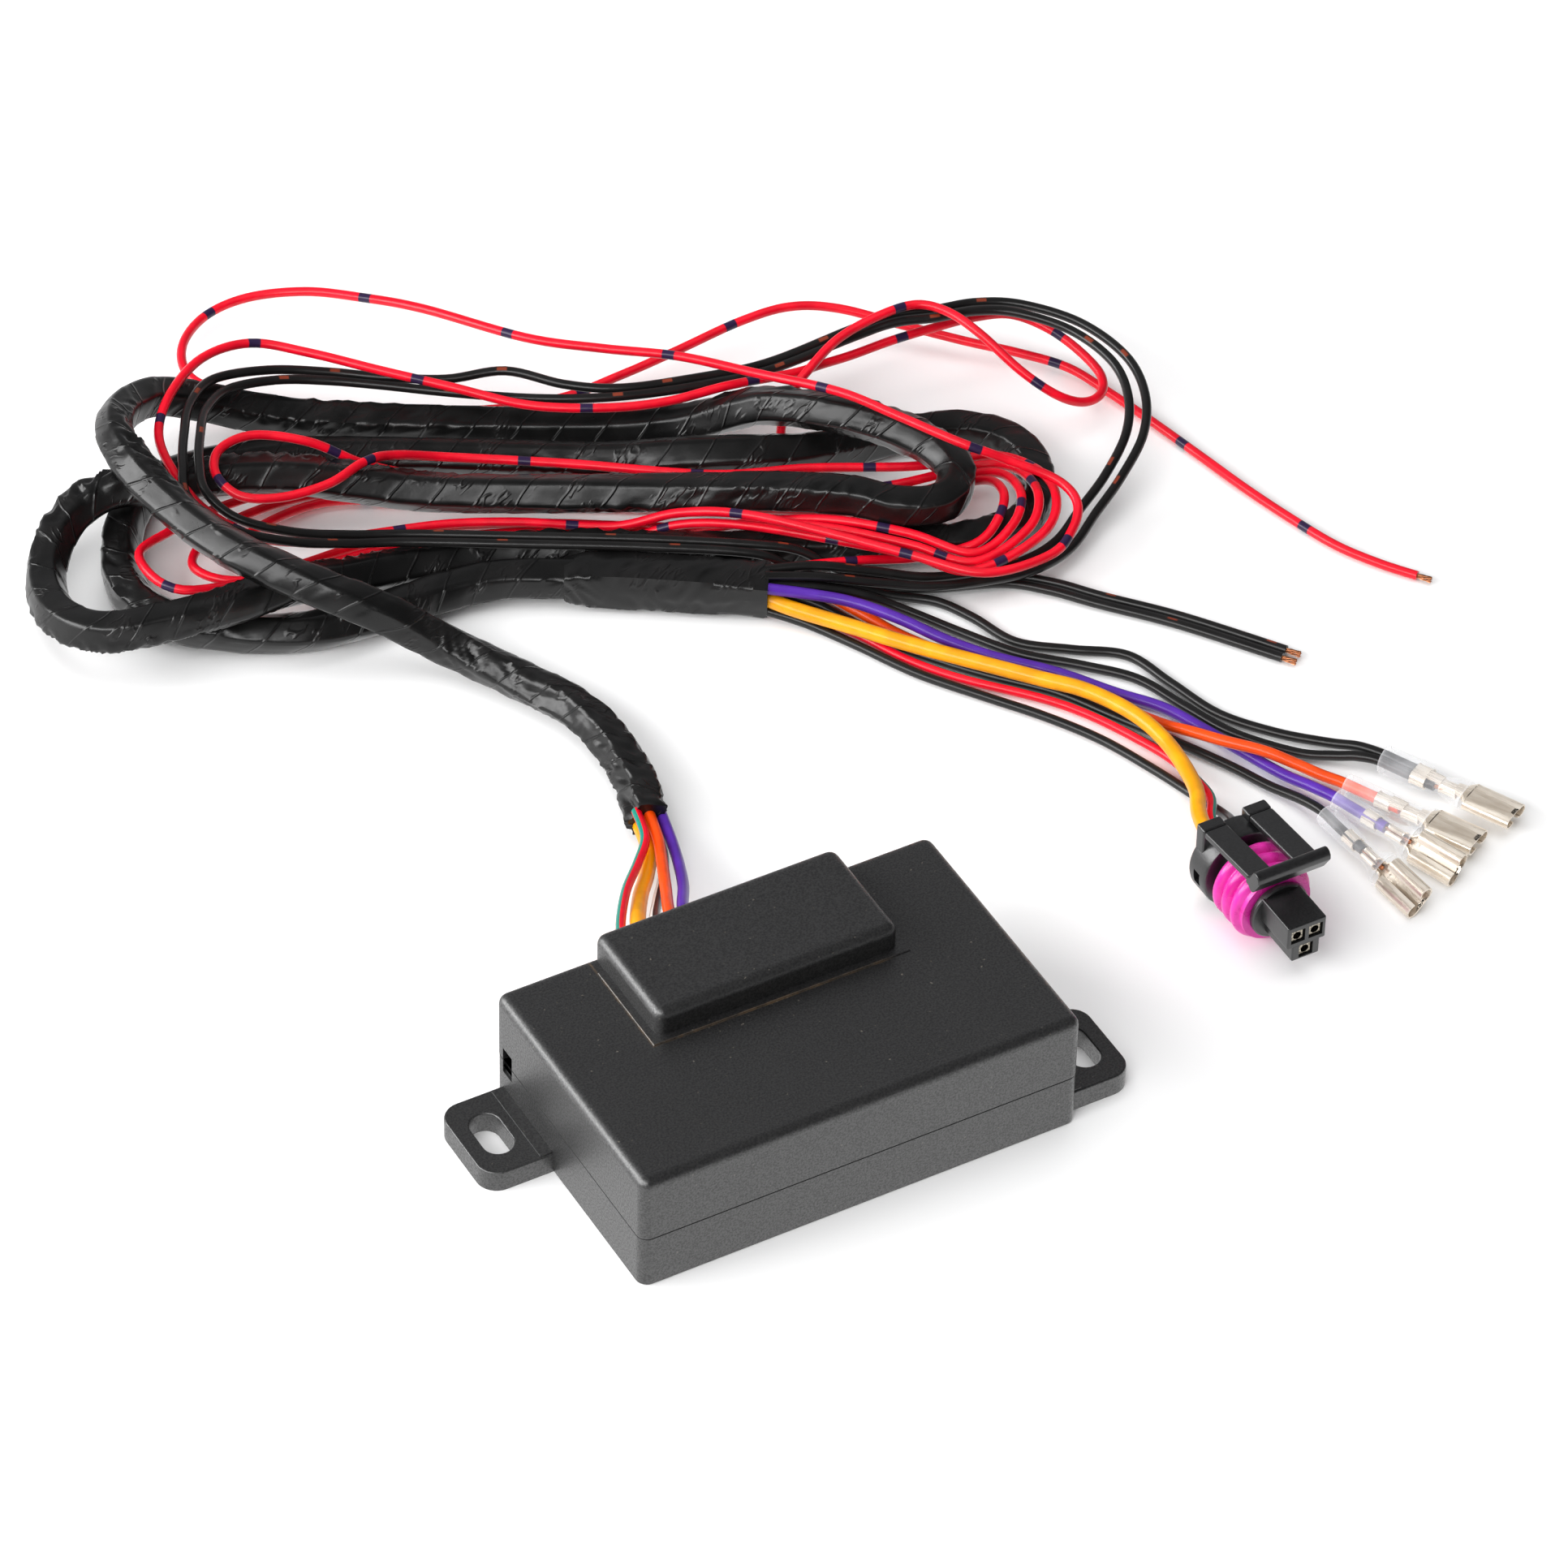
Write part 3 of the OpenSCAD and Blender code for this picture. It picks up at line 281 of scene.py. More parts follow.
def stand(name, bm, finish, body="unit", crease=35, place=None):
    """Makes the mesh a piece that rides on a body, with even light on its flat faces."""
    if place:
        bmesh.ops.transform(bm, matrix=place, verts=bm.verts[:])
    mesh = bpy.data.meshes.new(name)
    bm.to_mesh(mesh)
    bm.free()
    mesh.shade_smooth()
    mesh.set_sharp_from_angle(angle=math.radians(crease))
    mesh.materials.append(finish)
    piece = bpy.data.objects.new(name, mesh)
    scene.collection.objects.link(piece)
    even = piece.modifiers.new("even_light", "WEIGHTED_NORMAL")
    even.keep_sharp = True
    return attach(piece, body)


def sink(bm, chosen, shift):
    """Pushes chosen faces in along a shift, with walls round them."""
    made = bmesh.ops.extrude_face_region(bm, geom=chosen)["geom"]
    bmesh.ops.delete(bm, geom=[f for f in chosen if f.is_valid], context="FACES_ONLY")
    moved = [v for v in made if isinstance(v, bmesh.types.BMVert)]
    bmesh.ops.translate(bm, vec=shift, verts=moved)


def snap_notch(bm, low, high, deep):
    """Opens the window in the left wall between two heights."""
    for y in (snap_y, snap_y + snap_width):
        cut(bm, (0, y, 0), (0, 1, 0))
    for z in (low, high):
        cut(bm, (0, 0, z), (0, 0, 1))
    patch = [f for f in bm.faces if f.normal.x < -0.5 and low < f.calc_center_median().z < high
             and snap_y < f.calc_center_median().y < snap_y + snap_width]
    sink(bm, patch, (deep, 0, 0))


ear_reach, ear_width, ear_thick = 15 * mm, 22 * mm, 5 * mm
ear_offset, ear_radius = 17 * mm, 4.5 * mm
ear_root, ear_rise, root_inset, ear_overlap = 2.8 * mm, 0.3 * mm, 0.4 * mm, 1 * mm
ear_edge, root_edge = 0.4 * mm, 0.2 * mm
slot_width, slot_length, slot_reach = 6.5 * mm, 12 * mm, 8.2 * mm
bm = bmesh.new()
block(bm, (-half_l, -half_d, 0), (half_l, half_d, split))
round_edges(bm, [e for e in bm.edges if is_upright(e)], corner_radius, 6)
round_edges(bm, rim_at(bm, split), seam_chamfer, 1)
snap_notch(bm, snap_low, snap_tab, tab_depth)
snap_notch(bm, snap_tab, split, window_depth)
round_edges(bm, rim_at(bm, 0), foot_radius, 2)


def ear(bm, end, side):
    """A flat lug with a slot and a low fillet strip at its root, on one end and towards one side."""
    inner = half_l - ear_overlap
    lug = bmesh.new()
    block(lug, (inner, -ear_width / 2, 0), (half_l + ear_reach, ear_width / 2, ear_thick))
    round_edges(lug, [e for e in lug.edges if is_upright(e) and e.verts[0].co.x > half_l], ear_radius, 8)
    middle = half_l + slot_reach
    gap = (slot_length - slot_width) / 2
    for x in (middle - slot_width / 2, middle + slot_width / 2):
        cut(lug, (x, 0, 0), (1, 0, 0))
    for y in (-gap - slot_width / 2, gap + slot_width / 2):
        cut(lug, (0, y, 0), (0, 1, 0))
    hole = [f for f in lug.faces if abs(f.normal.z) > 0.9
            and abs(f.calc_center_median().x - middle) < slot_width / 2
            and abs(f.calc_center_median().y) < slot_length / 2]
    rims = [e for f in hole for e in f.edges]
    bmesh.ops.delete(lug, geom=hole, context="FACES_ONLY")
    bmesh.ops.bridge_loops(lug, edges=[e for e in rims if e.is_valid])
    inside = [e for e in lug.edges if is_upright(e)
              and abs(e.verts[0].co.x - middle) < slot_width / 2 + 1e-6
              and abs(e.verts[0].co.y) < slot_length / 2 + 1e-6]
    round_edges(lug, inside, slot_width / 2 - 0.01 * mm, 8)
    bmesh.ops.dissolve_limit(lug, angle_limit=math.radians(1), verts=lug.verts[:], edges=lug.edges[:])
    round_edges(lug, rim_at(lug, ear_thick), ear_edge, 3)
    root = block(lug, (inner, -ear_width / 2 + root_inset, ear_thick - ear_overlap),
                 (half_l + ear_root, ear_width / 2 - root_inset, ear_thick + ear_rise))
    round_edges(lug, edges_of(root), root_edge, 2)
    bmesh.ops.scale(lug, vec=(end, 1, 1), verts=lug.verts[:])
    bmesh.ops.translate(lug, vec=(0, side * ear_offset, 0), verts=lug.verts[:])
    bmesh.ops.recalc_face_normals(lug, faces=lug.faces[:])
    part = bpy.data.meshes.new("ear")
    lug.to_mesh(part)
    lug.free()
    bm.from_mesh(part)
    bpy.data.meshes.remove(part)


ear(bm, -1, 1)
ear(bm, 1, -1)
tray = stand("tray_moulding", bm, case_finish("tray_plastic"))
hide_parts("base_tray")

# Upper half of the case: a deep moulded lid with a raised hood along its rear edge and a low
# step round the hood's foot, where dust gathers. Snapped on to the tray along a fine joint line.
hood_length, hood_depth, hood_height = 55.4 * mm, 27 * mm, 6.4 * mm
hood_step, step_height, step_sunk, step_edge = 1.7 * mm, 0.3 * mm, 1 * mm, 0.25 * mm
step_rear = half_d - 5 * mm
edge_radius = 2.3 * mm
hood_front = half_d - hood_depth


def hood_dust(tone):
    """A thin line along the edge of the step in front of the hood and beside it."""
    across, away, height = tone.node("TexCoord", {}, {}, "Object").axes()
    beside = abs(across) - (hood_length / 2 + hood_step)
    before = (hood_front - hood_step) - away
    edge = abs(beside.math("MAXIMUM", beside, before))
    on_top = height.step(case_top - 0.6 * mm, case_top)
    short_of_right = 1 - across.step(hood_length / 2 - 8 * mm, hood_length / 2)
    return (1 - edge.step(0.12 * mm, 0.34 * mm)) * (on_top * short_of_right)


bm = bmesh.new()
block(bm, (-half_l, -half_d, split), (half_l, half_d, case_top))
for x in (-hood_length / 2, hood_length / 2):
    cut(bm, (x, 0, 0), (1, 0, 0))
cut(bm, (0, hood_front, 0), (0, 1, 0))
raised = [f for f in bm.faces if f.normal.z > 0.9 and abs(f.calc_center_median().x) < hood_length / 2
          and f.calc_center_median().y > hood_front]
sink(bm, raised, (0, 0, hood_height))
bmesh.ops.dissolve_limit(bm, angle_limit=math.radians(1), verts=bm.verts[:], edges=bm.edges[:])
outer = [e for e in bm.edges if not is_at(e, split) and e.is_convex and e.calc_face_angle(0) > 1]
round_edges(bm, outer, edge_radius, 6)
round_edges(bm, rim_at(bm, split), seam_chamfer, 1)
snap_notch(bm, split, snap_high, window_depth)
step = block(bm, (-hood_length / 2 - hood_step, hood_front - hood_step, case_top - step_sunk),
             (hood_length / 2 + hood_step, step_rear, case_top + step_height))
round_edges(bm, [e for e in edges_of(step) if is_at(e, case_top + step_height)], step_edge, 2)
cover = stand("cover_moulding", bm, case_finish("cover_plastic", hood_dust))
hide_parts("top_cover")

# Board and the pieces on it, shut inside the case: laminate, black packages, a plated
# spreader, capacitor cans in plastic sleeves, a bare shunt and a screw block.


def plain_finish(name, dark, light, rough, size, metal=0.0, index=1.5):
    """A moulded or plated finish whose colour and gloss vary a little over the surface."""
    finish, skin, tone = new_finish(name, {"Metallic": metal, "IOR": index})
    fine = grain(tone, size, 3)
    tone.feed(skin, {"Base Color": fine.step(0.3, 0.7).mix(dark, light),
                     "Roughness": rough + 0.15 * (fine - 0.5),
                     "Normal": bumped(tone, fine, 0.02 * mm)})
    return finish


def dress(node, finish):
    """Gives a CAD piece its finish."""
    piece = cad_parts[node]
    piece.data.materials.clear()
    piece.data.materials.append(finish)


laminate = plain_finish("board_laminate", seen(14, 60, 34), seen(24, 84, 48), 0.35, 1.5 * mm)
package_black = plain_finish("package_black", seen(24, 24, 25), seen(40, 40, 41), 0.55, 0.4 * mm)
can_sleeve = plain_finish("can_sleeve", seen(34, 40, 60), seen(50, 56, 78), 0.3, 1 * mm)
plated = plain_finish("plated_metal", seen(176, 176, 178), seen(205, 205, 206), 0.3, 0.8 * mm, 1.0)
shunt_alloy = plain_finish("shunt_alloy", seen(140, 128, 110), seen(168, 156, 138), 0.35, 0.8 * mm, 1.0)
block_green = plain_finish("block_green", seen(24, 96, 50), seen(36, 120, 66), 0.45, 0.8 * mm)
grommet_black = plain_finish("grommet_black", seen(20, 20, 20), seen(34, 33, 33), 0.6, 0.7 * mm)
dress("circuit_board", laminate)
for chip in ("power_transistors", "control_chip", "motion_sensor"):
    dress(chip, package_black)
dress("storage_capacitors", can_sleeve)
dress("heat_spreader", plated)
dress("current_shunt", shunt_alloy)
dress("terminal_block", block_green)
dress("wire_grommet", grommet_black)

# Wires from the board to the loom: five stranded wires in soft PVC, out of the grommet
# and down into the tape. Red carries a green tracer and black a white one.
thin, mid, wide, heavy = 2.1 * mm, 2.2 * mm, 2.5 * mm, 3.4 * mm


def smooth(points, steps):
    """A curve through the points, in metres, from points in millimetres."""
    spots = [Vector(p) * mm for p in points]
    spots = [spots[0], *spots, spots[-1]]
    path = []
    for a, b, c, d in zip(spots, spots[1:], spots[2:], spots[3:]):
        for k in range(steps):
            t = k / steps
            path.append(0.5 * (2 * b + (c - a) * t + (2 * a - 5 * b + 4 * c - d) * t * t
                               + (3 * b - a - 3 * c + d) * t * t * t))
    return path + [spots[-1]]


def run_of(path):
    """Distance along a path at each of its points."""
    run = [0.0]
    for a, b in zip(path, path[1:]):
        run.append(run[-1] + (b - a).length)
    return run


def loft(bm, rings, run):
    """Adds a closed skin through rings of points: a flat grid rolled up, welded along its seam and
    capped. Its map "wrap" holds the distance along, in metres, and the turn around from 0 to 1."""
    wrap = bm.loops.layers.uv.get("wrap") or bm.loops.layers.uv.new("wrap")
    last, sides = len(rings) - 1, len(rings[0])
    made = bmesh.ops.create_grid(bm, x_segments=last, y_segments=sides, size=0.5)["verts"]
    spot = {v: (round((v.co.x + 0.5) * last), round((v.co.y + 0.5) * sides)) for v in made}
    for face in {f for v in made for f in v.link_faces}:
        for corner in face.loops:
            ring, side = spot[corner.vert]
            corner[wrap].uv = (run[ring], side / sides)
    for vert, (ring, side) in spot.items():
        vert.co = rings[ring][side % sides]
    bmesh.ops.remove_doubles(bm, verts=made, dist=1e-7)
    ends = {e for v in made if v.is_valid for e in v.link_edges if e.is_boundary}
    bmesh.ops.holes_fill(bm, edges=list(ends))
    bmesh.ops.recalc_face_normals(bm, faces=bm.faces[:])


def tube(bm, path, radius, sides):
    """Adds a closed tube along a path; the radius may be a rule of distance and turn."""
    run = run_of(path)
    last = len(path) - 1
    rings = []
    for i, middle in enumerate(path):
        ahead = (path[min(i + 1, last)] - path[max(i - 1, 0)]).normalized()
        side = ahead.cross((0, 0, 1)).normalized()
        rings.append([])
        for k in range(sides):
            turn = 2 * math.pi * k / sides
            reach = radius(run[i], turn) if callable(radius) else radius
            spot = middle + reach * (math.cos(turn) * side + math.sin(turn) * side.cross(ahead))
            spot.z = max(spot.z, 0.02 * mm)
            rings[-1].append(spot)
    loft(bm, rings, run)


def sheath(name, path, radius, sides, finish):
    bm = bmesh.new()
    tube(bm, path, radius, sides)
    return stand(name, bm, finish, crease=60)


def insulation(name, colour, tracer=None, band=None, mark=None):
    """Soft PVC over strands, with a tracer stripe, bands all round or print marks of another colour."""
    finish, skin, tone = new_finish(name, {"IOR": 1.46})
    along, around, unused = tone.node("UVMap", {"uv_map": "wrap"}, {}).axes()
    cloudy = grain(tone, 6 * mm)
    dark = tuple(c * 0.78 for c in colour[:3]) + (1,)
    base = cloudy.step(0.35, 0.7).mix(dark, colour)

    def ringed(pitch, length):
        place = abs((along / pitch).wrapped() - 0.5) * pitch
        return 1 - place.step(length / 2 - 0.15 * mm, length / 2 + 0.15 * mm)

    if tracer:
        base = (1 - abs(around - tracer[0]).step(0.08, 0.10)).mix(base, tracer[1])
    if band:
        base = ringed(*band[:2]).mix(base, band[2])
    if mark:
        base = (ringed(*mark[:2]) * (1 - abs(around - 0.3).step(0.05, 0.09))).mix(base, mark[2])
    fine = grain(tone, 0.9 * mm)
    tone.feed(skin, {"Base Color": base, "Roughness": 0.24 + 0.16 * cloudy,
                     "Normal": bumped(tone, fine, 0.015 * mm)})
    return finish


red_colour = seen(240, 4, 38)
black_colour = seen(24, 23, 23)
yellow_pvc = insulation("yellow_pvc", seen(245, 164, 0))
orange_pvc = insulation("orange_pvc", seen(247, 77, 0))
purple_pvc = insulation("purple_pvc", seen(86, 40, 164))
black_pvc = insulation("black_pvc", black_colour)
red_green_pvc = insulation("red_green_pvc", red_colour, tracer=(0.385, seen(15, 128, 112)))
black_white_pvc = insulation("black_white_pvc", black_colour, tracer=(0.4, seen(238, 238, 234)))
steps_per_point = 8
pigtails = {
    "red": (thin, red_green_pvc, [
        [-16.4, 20.6, 20], [-16.4, 27, 20], [-16.4, 37, 20], [-13.8, 45, 18.2], [-5.6, 58, 14],
        [2.6, 68, 10.2], [8.4, 75.4, 8.8], [11, 84.1, 8.2]]),
    "yellow": (heavy, yellow_pvc, [
        [-12.6, 20.6, 20], [-12.6, 27, 20], [-12.6, 37, 20], [-9.8, 45, 17.5], [-2.2, 58, 11],
        [4.2, 67, 7], [9.2, 75.3, 5.2], [11.7, 84, 4.6]]),
    "black": (mid, black_white_pvc, [
        [-8.8, 20.6, 20], [-8.8, 27, 20], [-8.8, 37, 20], [-6, 45, 16.8], [2, 58, 9],
        [8, 66.8, 5.2], [12.2, 74.5, 3.9], [14.6, 83.2, 3.4]]),
    "orange": (wide, orange_pvc, [
        [-5.4, 20.6, 20], [-5.4, 27, 20], [-5.4, 37, 20], [-2.6, 45, 18], [3.2, 57, 12.6],
        [7.8, 67, 9.4], [11.1, 74.7, 7.8], [13.6, 83.4, 7.2]]),
    "purple": (wide, purple_pvc, [
        [-2.4, 20.6, 20], [-2.4, 27, 20], [-2.4, 37, 20], [0.6, 45, 17.4], [6.8, 56, 12],
        [11.2, 66, 8.2], [14, 74, 6.4], [16.3, 82.7, 5.9]]),
}
for colour, (diameter, finish, route) in pigtails.items():
    path = smooth(route, steps_per_point)
    wire = sheath("case_wire_" + colour, path, diameter / 2, 14, finish)
    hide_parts("pigtail_" + colour)
    "insulation_" + colour
    run_of(path)[-1]

# Loom: the wires bound in a spiral of glossy black PVC tape, pulled flat between the outer wires
# of the bundle and crumpled in places, folded into a hank of two and a half turns.
loom_diameter = 8.5 * mm
tape_pitch = 9.5 * mm
loom_steps = 18
lay = math.radians(30)


def on_floor(points):
    """Points given as across, away and height on the hank's turned floor frame."""
    c, s = math.cos(lay), math.sin(lay)
    return [(u * c + v * s, v * c - u * s, z) for u, v, z in points]


def taped(mean, flats, crumple, gather, neck):
    """The reach of a wrapped bundle: flats between the outer wires, which turn slowly along it, a step
    at each turn of tape, crumpled creases in patches and over the length gathered at its start, and
    a neck there."""
    def reach(run, turn):
        twist = 1.7 * noise.noise((run * 7, 0.3, 1.9))
        part = 2 * math.pi / flats
        off = (turn + twist) % part - part / 2
        flat = math.cos(part / 2) / math.cos(off)
        ring = 0.22 + 0.78 * flat / (0.5 + 0.5 * math.cos(part / 2))
        lumps = noise.noise((run * 24, 0.9 * math.cos(turn), 0.9 * math.sin(turn))) * 0.38 * mm
        winding = (run / tape_pitch - turn / math.pi + 0.4 * noise.noise((run * 30, 3.1, 0.7))) % 1
        edge = 0.16 * mm * winding if winding < 0.94 else 0.16 * mm * (1 - winding) / 0.06
        patch = noise.noise((run * 19, 0.7 * math.cos(turn), 0.7 * math.sin(turn) + 4)) - 0.12
        patch = max(0.0, patch, 0.5 * (1 - run / gather))
        slant = run * 300 + 1.5 * math.sin(turn + run * 60)
        creases = 0.3 - abs(noise.noise((slant, 1.1 * math.cos(turn), 1.1 * math.sin(turn))))
        start = 1 - neck * max(0.0, 1 - 2 * run / gather) ** 2
        return mean * ring * start + lumps + edge + patch * creases * crumple
    return reach


def tape_finish(name, seam_height):
    """Glossy black tape, tight in places and slack in others, with the edges of its turns this high."""
    finish, skin, tone = new_finish(name, {"IOR": 1.48})
    along, around, unused = tone.node("UVMap", {"uv_map": "wrap"}, {}).axes()
    winding = (along / tape_pitch - 2 * around + 0.8 * grain(tone, 30 * mm)).wrapped()
    seam = 1 - abs(winding - 0.5).step(0.0, 0.05)
    slack = grain(tone, 7 * mm, 1)
    pull = {0: along * 420 - around * 8, 1: around * 5 + along * 60, 2: 0.5}
    drawn = tone.node("CombineXYZ", {}, pull)
    pleats = abs(tone.node("TexNoise", {}, {"Vector": drawn, "Scale": 1.0, "Detail": 1.0}, "Fac") - 0.5)
    creased = slack.step(0.54, 0.66) * (1 - pleats.step(0.0, 0.09))
    fine = grain(tone, 0.6 * mm, 2)
    height = 0.21 * slack + 0.14 * creased + seam_height / mm * seam + 0.01 * fine
    tone.feed(skin, {"Base Color": slack.step(0.3, 0.8).mix(seen(13, 13, 13), seen(22, 21, 21)),
                     "Roughness": 0.22 + 0.10 * fine + 0.08 * slack, "Normal": bumped(tone, height, mm)})
    return finish


loom_route = [
    [-30, 78, 6], [-34, 94, 5], [-44, 111, 5], [-60, 123, 5], [-75, 130, 8], [-88, 131, 15],
    [-100, 132, 20], [-113, 136, 23.4], [-124, 143, 24.4], [-134, 153, 25], [-142, 163, 26],
    [-147, 175, 25], [-147, 187, 22], [-141, 198, 17], [-131, 204, 11], [-119, 206, 6.5],
    [-106, 206, 5], [-84, 206, 4.5], [-62, 206, 4.5], [-40, 206, 4.8], [-24, 206, 6.8],
    [-9, 204.5, 13], [6, 199.5, 16], [18, 196, 15.5], [29, 190, 14.5], [34, 182, 14],
    [31, 174, 13.5], [22, 172, 13.5], [10, 175, 13.5], [-8, 177, 12], [-30, 178, 10], [-55, 178, 9],
    [-80, 178, 9], [-96, 178, 11], [-110, 177, 13.5], [-124, 175, 14.5], [-137, 172, 14],
    [-149, 170, 13.5], [-158, 163, 10], [-161, 149, 8], [-157, 134, 10], [-147, 125, 13],
    [-133, 127, 14.5], [-118, 134, 14.4], [-108, 143, 11.6], [-99, 150, 7.4], [-86, 157, 5],
    [-68, 163, 4.5], [-48, 165, 4.5], [-26, 165, 4.5], [0, 167, 4.5], [24, 170, 4.5],
    [39, 172, 4.5], [49, 179, 4.5], [52, 190, 4.5], [48, 202, 4.5], [38, 208, 4.5], [24, 207, 4.5],
    [11, 202.5, 4.5], [0, 198, 6], [-12, 195.5, 7.2], [-26, 195, 6.5], [-44, 195, 4.5],
    [-68, 195, 4.5], [-92, 195, 4.5], [-110, 194, 4.5], [-124, 191, 4.5], [-136, 186, 4.5],
    [-144, 176, 4.5], [-146, 161, 4.5], [-143, 148, 4.5], [-135, 140, 4.5], [-122, 136, 4.5],
    [-106, 136, 4.5], [-92, 141, 4.5], [-78, 149, 4.5], [-64, 153.5, 5.5], [-48, 154, 6]]
path = smooth(on_floor(loom_route), loom_steps)
loom_reach = taped(loom_diameter / 2, flats=5, crumple=4 * mm, gather=70 * mm, neck=0)
loom = sheath("taped_loom", path, loom_reach, 40, tape_finish("tape_black", 0.14 * mm))
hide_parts("loom")

# Junction: the splices where the loom divides, bound over lengthways with a broad sheet of the
# same tape that lies in flats, gathered at its left end and cut square at its right.
joint_diameter = 11.4 * mm
joint_path = smooth(on_floor([[-50, 154, 6], [-36, 154, 6], [-20, 153, 6], [-6, 152, 6]]), 28)
joint_reach = taped(joint_diameter / 2 - 0.2 * mm, flats=4, crumple=1.8 * mm, gather=16 * mm, neck=0.2)
joint = sheath("taped_junction", joint_path, joint_reach, 48, tape_finish("tape_sheet", 0.0))
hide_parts("joint_tape")
run_of(path)[-1]

# Long leads: a red one with dark printed bands and a black pair with faint print marks, wound
# with the loom and cut off square, with the twisted copper strands showing at their ends.


def right_turn(out):
    """Round the right end of the hank, each turn a little further out."""
    return [[38, 166 - 2.9 * out, 8], [43 + 3.5 * out, 171 - out, 11], [44 + 3.5 * out, 180 + out, 11.5],
            [38 + 1.8 * out, 187 + 2.9 * out, 8]]


back_run = [
    [[18, 183.6, 2], [-10, 183.6, 1.5], [-38, 183.6, 1.5], [-66, 183.6, 1.5], [-90, 183.6, 1.5]],
    [[18, 186.3, 2], [-10, 186.3, 1.5], [-38, 186.3, 1.5], [-66, 186.3, 1.5], [-90, 186.3, 1.5]],
    [[18, 187.4, 5.4], [-10, 185.2, 4.4], [-38, 185, 4.2], [-66, 185, 4.2], [-90, 185, 4.2]]]
left_turn = [
    [[-104, 182, 1.5], [-115, 174, 2.5], [-121, 165, 3.5], [-120, 157, 4], [-110, 158, 3.5],
     [-98, 166, 2], [-82, 174, 1.5]],
    [[-106, 184.5, 1.5], [-120, 175, 3.5], [-128, 164, 5.5], [-129.5, 154, 6.5], [-120, 150, 6.5],
     [-104, 158, 4], [-86, 168.5, 1.6]],
    [[-108, 185, 4], [-125, 176, 5], [-135, 163, 9], [-141, 152, 11], [-131, 141.5, 11],
     [-108, 152.5, 7], [-90, 162.5, 2.5]]]
front_run = [
    [[-60, 176.9, 1.5], [-38, 176.9, 1.5], [-20, 175.6, 2.5], [-6, 172.8, 7.5], [8, 169.6, 10.8],
     [24, 166.5, 10.2]],
    [[-60, 174.1, 1.5], [-38, 174.1, 1.5], [-22, 173, 4], [-8, 169.8, 9.6], [8, 166.9, 10.6],
     [24, 163.8, 9.4]],
    [[-60, 171.3, 1.5], [-40, 171.2, 1.8], [-26, 171, 7.2], [-12, 167.5, 10.6], [6, 164.2, 10.2],
     [24, 161.2, 8.8]]]
route_red = [[-7, 155.9, 7.7], [4, 157.8, 8.3], [14, 161, 7], [26, 164.3, 5.3]]
for out in range(3):
    route_red += right_turn(out) + back_run[out] + left_turn[out] + front_run[out]
route_red += right_turn(3) + [
    [25, 191.5, 8], [2, 190, 8], [-19, 186.5, 8.5], [-50, 189, 8.5], [-75, 189, 9.5],
    [-88, 184, 14], [-94, 178, 17], [-101, 170, 17.5], [-111, 165, 17.5], [-120, 164, 18.5],
    [-125.5, 169, 20.5], [-125, 177, 20.5], [-118, 182.5, 20], [-106, 183.5, 17.5],
    [-95, 184, 11.5], [-84, 187.5, 5.5], [-72, 189, 1.8], [-50, 189, 1.5], [-28, 189.3, 1.3],
    [-17, 192, 1.2], [-10, 197, 1.3], [-5, 204, 2], [-4, 209, 5], [-2, 212, 11], [1.5, 215.1, 15],
    [8, 223.1, 17.5], [17, 228.9, 19.6], [25, 232.6, 19.8], [32, 230.2, 19.8], [39, 224.3, 18.7],
    [48, 217.7, 14], [56, 214.5, 10], [62, 215.8, 7], [66, 220, 6], [66, 226, 6.5], [61, 232, 8.5],
    [54, 237, 10.5], [46, 239.5, 12], [38, 237, 13], [30, 233.5, 13], [20, 229.6, 12],
    [11, 224.7, 11.5], [4.5, 220.7, 12], [-2, 216.1, 13], [-16, 209.6, 14.5], [-30, 204, 14],
    [-44, 201.5, 14], [-60, 202, 14], [-76, 205.5, 15.5], [-92, 209.5, 16.5], [-108, 215, 16.5],
    [-121, 216, 18], [-131, 208, 20], [-137, 194, 21], [-138.5, 181, 20.5], [-134, 168, 20.5],
    [-127, 160, 17.5], [-116, 157, 13], [-104, 161, 8.5], [-92, 167, 6], [-76, 172, 5],
    [-60, 173.2, 5], [-40, 172.8, 4.8], [-26, 171.8, 9.9], [-12, 167.5, 13.7], [6, 163, 12.9],
    [24, 158.6, 11], [40, 154.6, 9.8], [54, 160, 10.5], [59, 167, 12], [60, 174, 13.6],
    [56, 179.5, 15], [46, 182, 18], [34, 183.5, 22], [21, 190.5, 23], [8, 198, 23.2],
    [-10, 208, 19.5], [-27, 215, 18], [-44, 219.5, 16], [-61, 225, 14], [-84, 239, 10],
    [-98, 245.5, 7.5], [-111, 249, 6], [-124, 247.5, 5], [-133, 240.5, 5], [-137, 229, 6],
    [-135, 219, 6], [-127, 214, 5.5], [-115, 213, 4], [-92, 212.6, 3], [-70, 213, 3],
    [-53, 216.5, 4], [-40, 223, 5.5], [-28, 230, 7], [-14, 239, 8.5], [-3, 244, 9], [8, 245, 8],
    [22, 242.5, 5.8], [36, 239, 4.5], [48, 236.5, 3.5], [59, 233, 2.5], [68, 226, 1.5],
    [77, 217, 1.3], [88, 205, 1.3], [98, 194, 1.3], [108, 184, 1.3], [117, 176, 1.3],
    [126, 170.5, 1.3], [134, 166.8, 1.3]]
